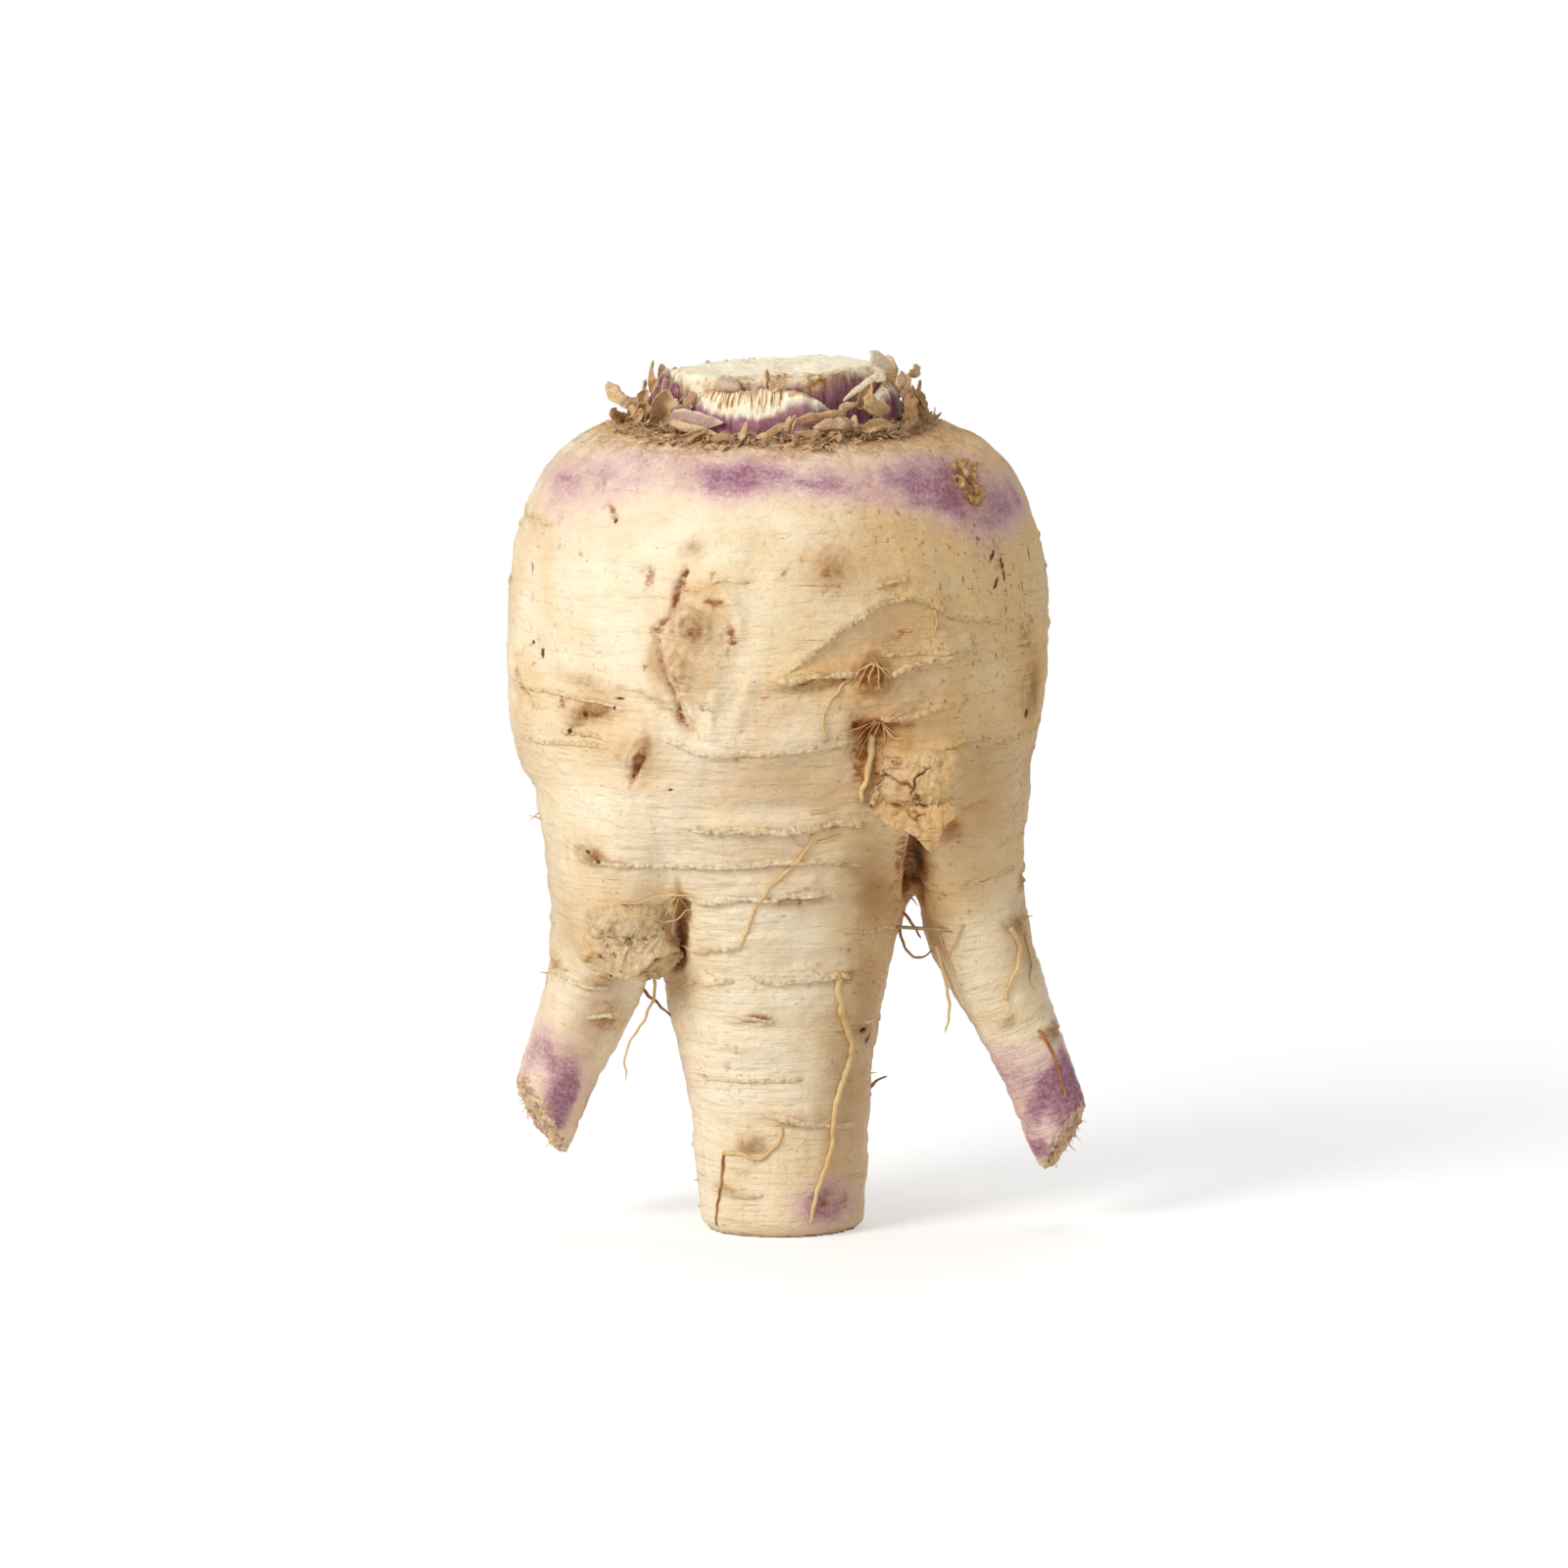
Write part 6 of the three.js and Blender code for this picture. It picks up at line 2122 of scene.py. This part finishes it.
class OBJECT_OT_chicory_litter(bpy.types.Operator):
    """Scatters the crumbs and shreds of dry scale round the crown's foot"""

    bl_idname = "object.chicory_litter"
    bl_label = "Crumbs and shreds"

    def execute(self, context):
        _, crown, _ = settings()
        rng = np.random.default_rng(5)
        bpy.ops.mesh.primitive_ico_sphere_add(subdivisions=1, radius=1.0 * MM)
        seed_ball = context.active_object
        ball = points_of(seed_ball)
        ball_faces = [tuple(face.vertices) for face in seed_ball.data.polygons]
        bpy.data.objects.remove(seed_ball)
        heap = Heap()
        for _ in range(crown.crumbs):
            turn, beyond = rng.uniform(-180, 180), 6.2 * rng.random() ** 1.7
            if rng.random() < 0.05:
                beyond += rng.uniform(0, 3)
            spot_place = self.on_shoulder(turn, CRUMB_RING + beyond)
            size = rng.uniform(0.16, 0.62) * (1.0 if beyond < 4 else 0.6)
            shape = ball * size * rng.uniform((0.8, 0.4, 0.16), (2.2, 1.1, 0.5))
            shape *= 1 + 0.45 * rng.uniform(-1, 1, (len(ball), 1))
            a, b = rng.uniform(0, 2 * math.pi), rng.uniform(-1.3, 1.3)
            rise = 0.25 * size + rng.uniform(0, 0.8) * fade(5, 1, beyond)
            shape = (turning("z", a) @ turning("x", b) @ shape.T).T + spot_place + np.array([0, 0, rise])
            heap.add(shape, ball_faces, rng.uniform(0, 1))
        dress(heap.piece("crown_crumbs", "shade"), material_named("crumb"), "dry_scale")

        heap, us, vs = Heap(), [], []
        for number in range(SHREDS):
            turn, length = rng.uniform(-180, 180), rng.uniform(1.0, 3.6)
            width = rng.uniform(0.4, 1.5)
            shape, leaf_faces, u, v = leaf(length, width, rng.uniform(-60, 90), 400 + number, 4, 6)
            beyond = 5.4 * rng.random() ** 1.5
            place = self.on_shoulder(turn, SHRED_RING + beyond)
            lift = place[2] - CROWN[2] - 0.3
            lean, twist, roll = rng.uniform(58, 92), rng.uniform(-60, 60), rng.uniform(-100, 100)
            shape = set_round_crown(shape, turn, lean, twist, roll, beyond - 0.3, lift)
            heap.add(shape, leaf_faces, rng.uniform(0.05, 1.0))
            us.append(u)
            vs.append(v)
        piece = heap.piece("crown_shreds", "brown")
        leaf_masks(piece, 0.08, 0.3, 0.05, np.concatenate(us), np.concatenate(vs), 3.0, 1.2, 401)
        put_mask(piece, "brown", np.concatenate(heap.shades))
        finish_with(piece, "SOLIDIFY", thickness=0.12 * MM, offset=0)
        dress(piece, material_named("scale"), "dry_scale")
        return {"FINISHED"}

    @staticmethod
    def on_shoulder(turn, radius):
        """The place on the skin under a point at this turn and distance from the crown's axis."""
        above = round_crown(np.array([turn]), radius, 30.0)[0]
        place = SKIN["tree"].ray_cast(Vector(above), Vector((0, 0, -1)))[0]
        if place is None:
            raise ValueError(f"no shoulder at turn {turn}, radius {radius}")
        return np.array(place)


# ---------------------------------------------------------------- fine roots and threads
# How far apart the points of roots and threads are, and the frayed ends round each leg's cut.
ROOT_STEP = 0.45
THREAD_STEP = 0.35
FRAYS_TO_A_CUT = 26
FRAY_RING = 4.6


def tube(path, radii, sides):
    """A closed tube round a path: its points and faces. radii has one number for each point of the path."""
    path = np.asarray(path, float)
    along = np.gradient(path, axis=0)
    along /= np.maximum(np.linalg.norm(along, axis=1), 1e-9)[:, None]
    first = unit(np.cross(along[0], (0.3, 0.2, 0.93)))
    points = []
    for place, way, radius in zip(path, along, radii):
        first = unit(first - way * (first @ way))
        second = np.cross(way, first)
        for k in range(sides):
            a = 2 * math.pi * k / sides
            points.append(place + radius * (math.cos(a) * first + math.sin(a) * second))
    faces = [face[::-1] for face in strip_faces(len(path), sides, closed=True)]
    faces.append(tuple(range(sides)))
    faces.append(tuple(reversed(range(len(points) - sides, len(points)))))
    return np.array(points), faces


def root_path(tree, turn, route, lift, step, seed, wander):
    """A path along the skin, or through free points, with a slight wander."""
    path = smooth_path(route, step)
    marks = beside(np.arange(len(path)) * step, 0, 0)
    if len(route[0]) == 3:
        t = np.linspace(0, 1, len(path))[:, None]
        shake = beside(*(noise(marks, 2.4, seed + k) for k in range(3)))
        return path + wander * shake * np.minimum(1, 6 * t)
    flat = path + wander * beside(noise(marks, 2.2, seed), noise(marks, 2.2, seed + 1))
    hits = [on_skin(tree, turn, across, height) for across, height in flat]
    spots, normals = (np.array(one) for one in zip(*hits))
    for _ in range(4):
        normals[1:-1] = (normals[:-2] + normals[1:-1] + normals[2:]) / 3
    lift = lift[:len(spots)] if len(lift) >= len(spots) else lift[:1]
    return spots + unit(normals) * lift[:, None]


class OBJECT_OT_chicory_roots(bpy.types.Operator):
    """Adds the fine roots that lie along the skin or hang free"""

    bl_idname = "object.chicory_roots"
    bl_label = "Fine roots"

    def execute(self, context):
        tree = SKIN["tree"]
        for number, (turn, node, thickness, brown, route) in enumerate(ROOTS):
            seed = 500 + 10 * number
            radius = thickness / 2
            path = root_path(tree, turn, route, np.array([0.55 * radius]), ROOT_STEP, seed, 0.28)
            t = np.linspace(0, 1, len(path))
            marks = beside(t * len(path) * ROOT_STEP, 0, 0)
            swell = 1 + 0.22 * noise(marks, 1.7, seed + 4) + 0.12 * noise(marks, 0.8, seed + 5)
            radii = radius * swell * (1.25 - 0.62 * t) * np.maximum(0.12, fade(1.02, 0.94, t))
            if len(route[0]) == 2:
                into = 1.2 * radius * (fade(0.05, 0, t) + fade(0.96, 1, t))
                normals = np.array([tree.find_nearest(Vector(p))[1] for p in path])
                path = path - normals * into[:, None]
            points, faces = tube(path, radii, 9)
            piece = new_mesh(node + "_fibre", points, faces)
            put_mask(piece, "brown", (0.7 if brown else 0.1) + 0.5 * noise(points_of(piece), 2.4, seed + 6))
            dress(piece, material_named("thread" if brown else "fibre"), "rootlet", node)
        return {"FINISHED"}


class OBJECT_OT_chicory_threads(bpy.types.Operator):
    """Adds the bark fibres of knots and lips, the frayed cuts and the tiny side roots"""

    bl_idname = "object.chicory_threads"
    bl_label = "Threads"

    def execute(self, context):
        tree = SKIN["tree"]
        rng = np.random.default_rng(23)
        heap = Heap()
        for number, (turn, thickness, brown, stand, route) in enumerate(THREADS):
            t = np.linspace(0, 1, len(smooth_path(route, THREAD_STEP)))
            lift = 0.12 + stand * np.sin(math.pi * t)
            path = root_path(tree, turn, route, lift, THREAD_STEP, 700 + 5 * number, 0.22)
            t = np.linspace(0, 1, len(path))
            radii = 0.5 * thickness * (1.1 - 0.6 * t) * np.maximum(0.2, fade(1.0, 0.85, t))
            heap.add(*tube(path, radii, 6), brown)
        for spike in SPIKES:
            near, normal, _, _ = tree.find_nearest(Vector(spike[:3]))
            way, length = unit(spike[3:6]), spike[6]
            t = np.linspace(0, 1, 8)
            bend = beside(0, 0, -(t**2)) * 0.25 * length
            path = np.array(near) - 0.3 * np.array(normal) + way * (t * length)[:, None] + bend
            heap.add(*tube(path, 0.2 * (1.15 - t), 6), 0.5)
        for cut in (LEFT_CUT, RIGHT_CUT):
            waste = unit(cut["waste"])
            side = unit(np.cross(waste, (0, 1, 0)))
            other = np.cross(side, waste)
            for _ in range(FRAYS_TO_A_CUT):
                a = rng.uniform(0, 2 * math.pi)
                reach = np.array(cut["at"]) + FRAY_RING * (math.cos(a) * side + math.sin(a) * other)
                near, normal, _, _ = tree.find_nearest(Vector(reach))
                way = unit(waste * 0.5 + np.array(normal) * 0.3 + rng.uniform(-0.5, 0.5, 3) + (0, 0, -0.5))
                length = rng.uniform(0.8, 2.2)
                t = np.linspace(0, 1, 6)
                wiggle = rng.uniform(-0.3, 0.3, 3) * (t**2)[:, None]
                path = np.array(near) - 0.2 * np.array(normal) + way * (t * length)[:, None] + wiggle
                heap.add(*tube(path, rng.uniform(0.08, 0.17) * (1.1 - 0.8 * t), 5), rng.uniform(0.1, 0.6))
        dress(heap.piece("bark_threads", "brown"), material_named("fibre"), "rootlet")
        return {"FINISHED"}


# ---------------------------------------------------------------- floor, light and camera
# In metres: the middle of the view, where the floor starts to turn plain white and where it has, and the
# lamps' places, sizes and tints, each by the setting that holds its power.
MIDDLE = Vector((0.0003, 0, 0.078))
FADE_FROM, WHITE_FROM = 0.09, 0.27
LAMPS = {
    "key": ((-0.98, -0.92, 0.8), (0.6, 0.6), (1.0, 0.985, 0.955)),
    "fill": ((1.0, -0.7, 0.5), (0.8, 0.8), (1, 1, 1)),
    "top": ((-0.1, 0.35, 1.35), (0.9, 0.7), (1, 1, 1)),
}


def floor_material():
    """A white floor that keeps the root's shadow and runs into the white behind it."""
    _, _, stage = settings()
    material, nodes = new_material("Floor")
    shader, white = nodes.tree.nodes["Principled BSDF"], colour(255, 255, 255)
    points = nodes.points()
    away = nodes.add("ShaderNodeVectorMath", {0: points}, operation="LENGTH").outputs["Value"]
    tone = nodes.mix(nodes.times(nodes.noise(points, 6.0, 2.0), 0.04), stage.floor, colour(225, 225, 225))
    nodes.tree.links.new(tone, shader.inputs["Base Color"])
    shader.inputs["Roughness"].default_value = 0.9
    shader.inputs["Specular IOR Level"].default_value = 0.1
    lift, plain = (nodes.add("ShaderNodeEmission", {"Color": white, "Strength": strength}).outputs[0]
                   for strength in (0.36, 1.0))
    lit = nodes.add("ShaderNodeAddShader", {0: shader.outputs[0], 1: lift}).outputs[0]
    whiter = nodes.ramp(away, FADE_FROM, WHITE_FROM)
    far = nodes.add("ShaderNodeMixShader", {0: whiter, 1: lit, 2: plain}).outputs[0]
    seen = nodes.add("ShaderNodeLightPath").outputs["Is Camera Ray"]
    both = nodes.add("ShaderNodeMixShader", {0: seen, 1: shader.outputs[0], 2: far}).outputs[0]
    nodes.tree.links.new(both, nodes.tree.nodes["Material Output"].inputs["Surface"])
    return material


def add_lamp(name, power, target, place, size, tint):
    """A rectangular lamp at a place, shining on the target."""
    bpy.ops.object.light_add(type="AREA", location=place)
    lamp = bpy.context.active_object
    lamp.name = lamp.data.name = name
    lamp.data.shape = "RECTANGLE"
    lamp.data.size, lamp.data.size_y = size
    lamp.data.energy = power
    lamp.data.color = tint
    lamp.rotation_euler = (Vector(target) - Vector(place)).to_track_quat("-Z", "Y").to_euler()
    return lamp


class OBJECT_OT_chicory_stage(bpy.types.Operator):
    """Adds the floor, the soft lamps, the white surroundings and the camera"""

    bl_idname = "object.chicory_stage"
    bl_label = "Floor, lamps and camera"

    def execute(self, context):
        _, _, stage = settings()
        scene = context.scene
        bpy.ops.mesh.primitive_plane_add(size=8.0, location=(0, 0, 0))
        floor = context.active_object
        floor.name = floor.data.name = "floor"
        floor.data.materials.append(floor_material())

        low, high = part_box("root_body")
        aim = Vector((MIDDLE.x, 0, (low.z + high.z) / 2 + 5.4 * MM))
        for name, lamp in LAMPS.items():
            add_lamp(name + "_lamp", getattr(stage, name), aim, *lamp)

        world = bpy.data.worlds.new("Studio")
        scene.world = world
        world.use_nodes = True
        nodes = Nodes(world.node_tree)
        nodes.tree.nodes.clear()
        lights = [nodes.add("ShaderNodeBackground", {"Color": (1, 1, 1, 1), "Strength": strength})
                  for strength in (stage.sky, 1.0)]
        sky, white = (light.outputs[0] for light in lights)
        seen = nodes.add("ShaderNodeLightPath").outputs["Is Camera Ray"]
        both = nodes.add("ShaderNodeMixShader", {0: seen, 1: sky, 2: white}).outputs[0]
        nodes.add("ShaderNodeOutputWorld", {"Surface": both})

        away = Vector((0, -math.cos(stage.rise), math.sin(stage.rise))) * stage.distance
        bpy.ops.object.camera_add(location=MIDDLE + away)
        camera = context.active_object
        camera.name = camera.data.name = "camera"
        camera.data.lens = stage.lens
        camera.data.sensor_width = 36
        camera.data.clip_end = 20
        camera.rotation_euler = (-away).to_track_quat("-Z", "Y").to_euler()
        scene.camera = camera
        scene.view_settings.view_transform = "Standard"
        return {"FINISHED"}


# ---------------------------------------------------------------- the panel, and making it all
class VIEW3D_PT_chicory(bpy.types.Panel):
    """The steps that make the root, in their order"""

    bl_label = "Chicory root"
    bl_space_type = "VIEW_3D"
    bl_region_type = "UI"
    bl_category = "Chicory root"

    def draw(self, context):
        scene = context.scene
        for group in (scene.chicory_skin, scene.chicory_crown, scene.chicory_stage):
            box = self.layout.box()
            for name in group.__annotations__:
                box.prop(group, name)
        for step in STEPS:
            self.layout.operator(step.bl_idname)


STEPS = (
    OBJECT_OT_chicory_skin,
    OBJECT_OT_chicory_bark,
    OBJECT_OT_chicory_flesh,
    OBJECT_OT_chicory_stalks,
    OBJECT_OT_chicory_scales,
    OBJECT_OT_chicory_litter,
    OBJECT_OT_chicory_roots,
    OBJECT_OT_chicory_threads,
    OBJECT_OT_chicory_stage,
)
CLASSES = (ChicorySkinSettings, ChicoryCrownSettings, ChicoryStageSettings, *STEPS, VIEW3D_PT_chicory)


def register():
    for one in CLASSES:
        bpy.utils.register_class(one)
    bpy.types.Scene.chicory_skin = PointerProperty(type=ChicorySkinSettings)
    bpy.types.Scene.chicory_crown = PointerProperty(type=ChicoryCrownSettings)
    bpy.types.Scene.chicory_stage = PointerProperty(type=ChicoryStageSettings)


def unregister():
    del bpy.types.Scene.chicory_stage, bpy.types.Scene.chicory_crown, bpy.types.Scene.chicory_skin
    for one in reversed(CLASSES):
        bpy.utils.unregister_class(one)


def main():
    register()
    bpy.ops.object.chicory_skin()
    bpy.ops.object.chicory_bark()
    bpy.ops.object.chicory_flesh()
    bpy.ops.object.chicory_stalks()
    bpy.ops.object.chicory_scales()
    bpy.ops.object.chicory_litter()
    bpy.ops.object.chicory_roots()
    bpy.ops.object.chicory_threads()
    bpy.ops.object.chicory_stage()


if __name__ == "__main__":
    main()
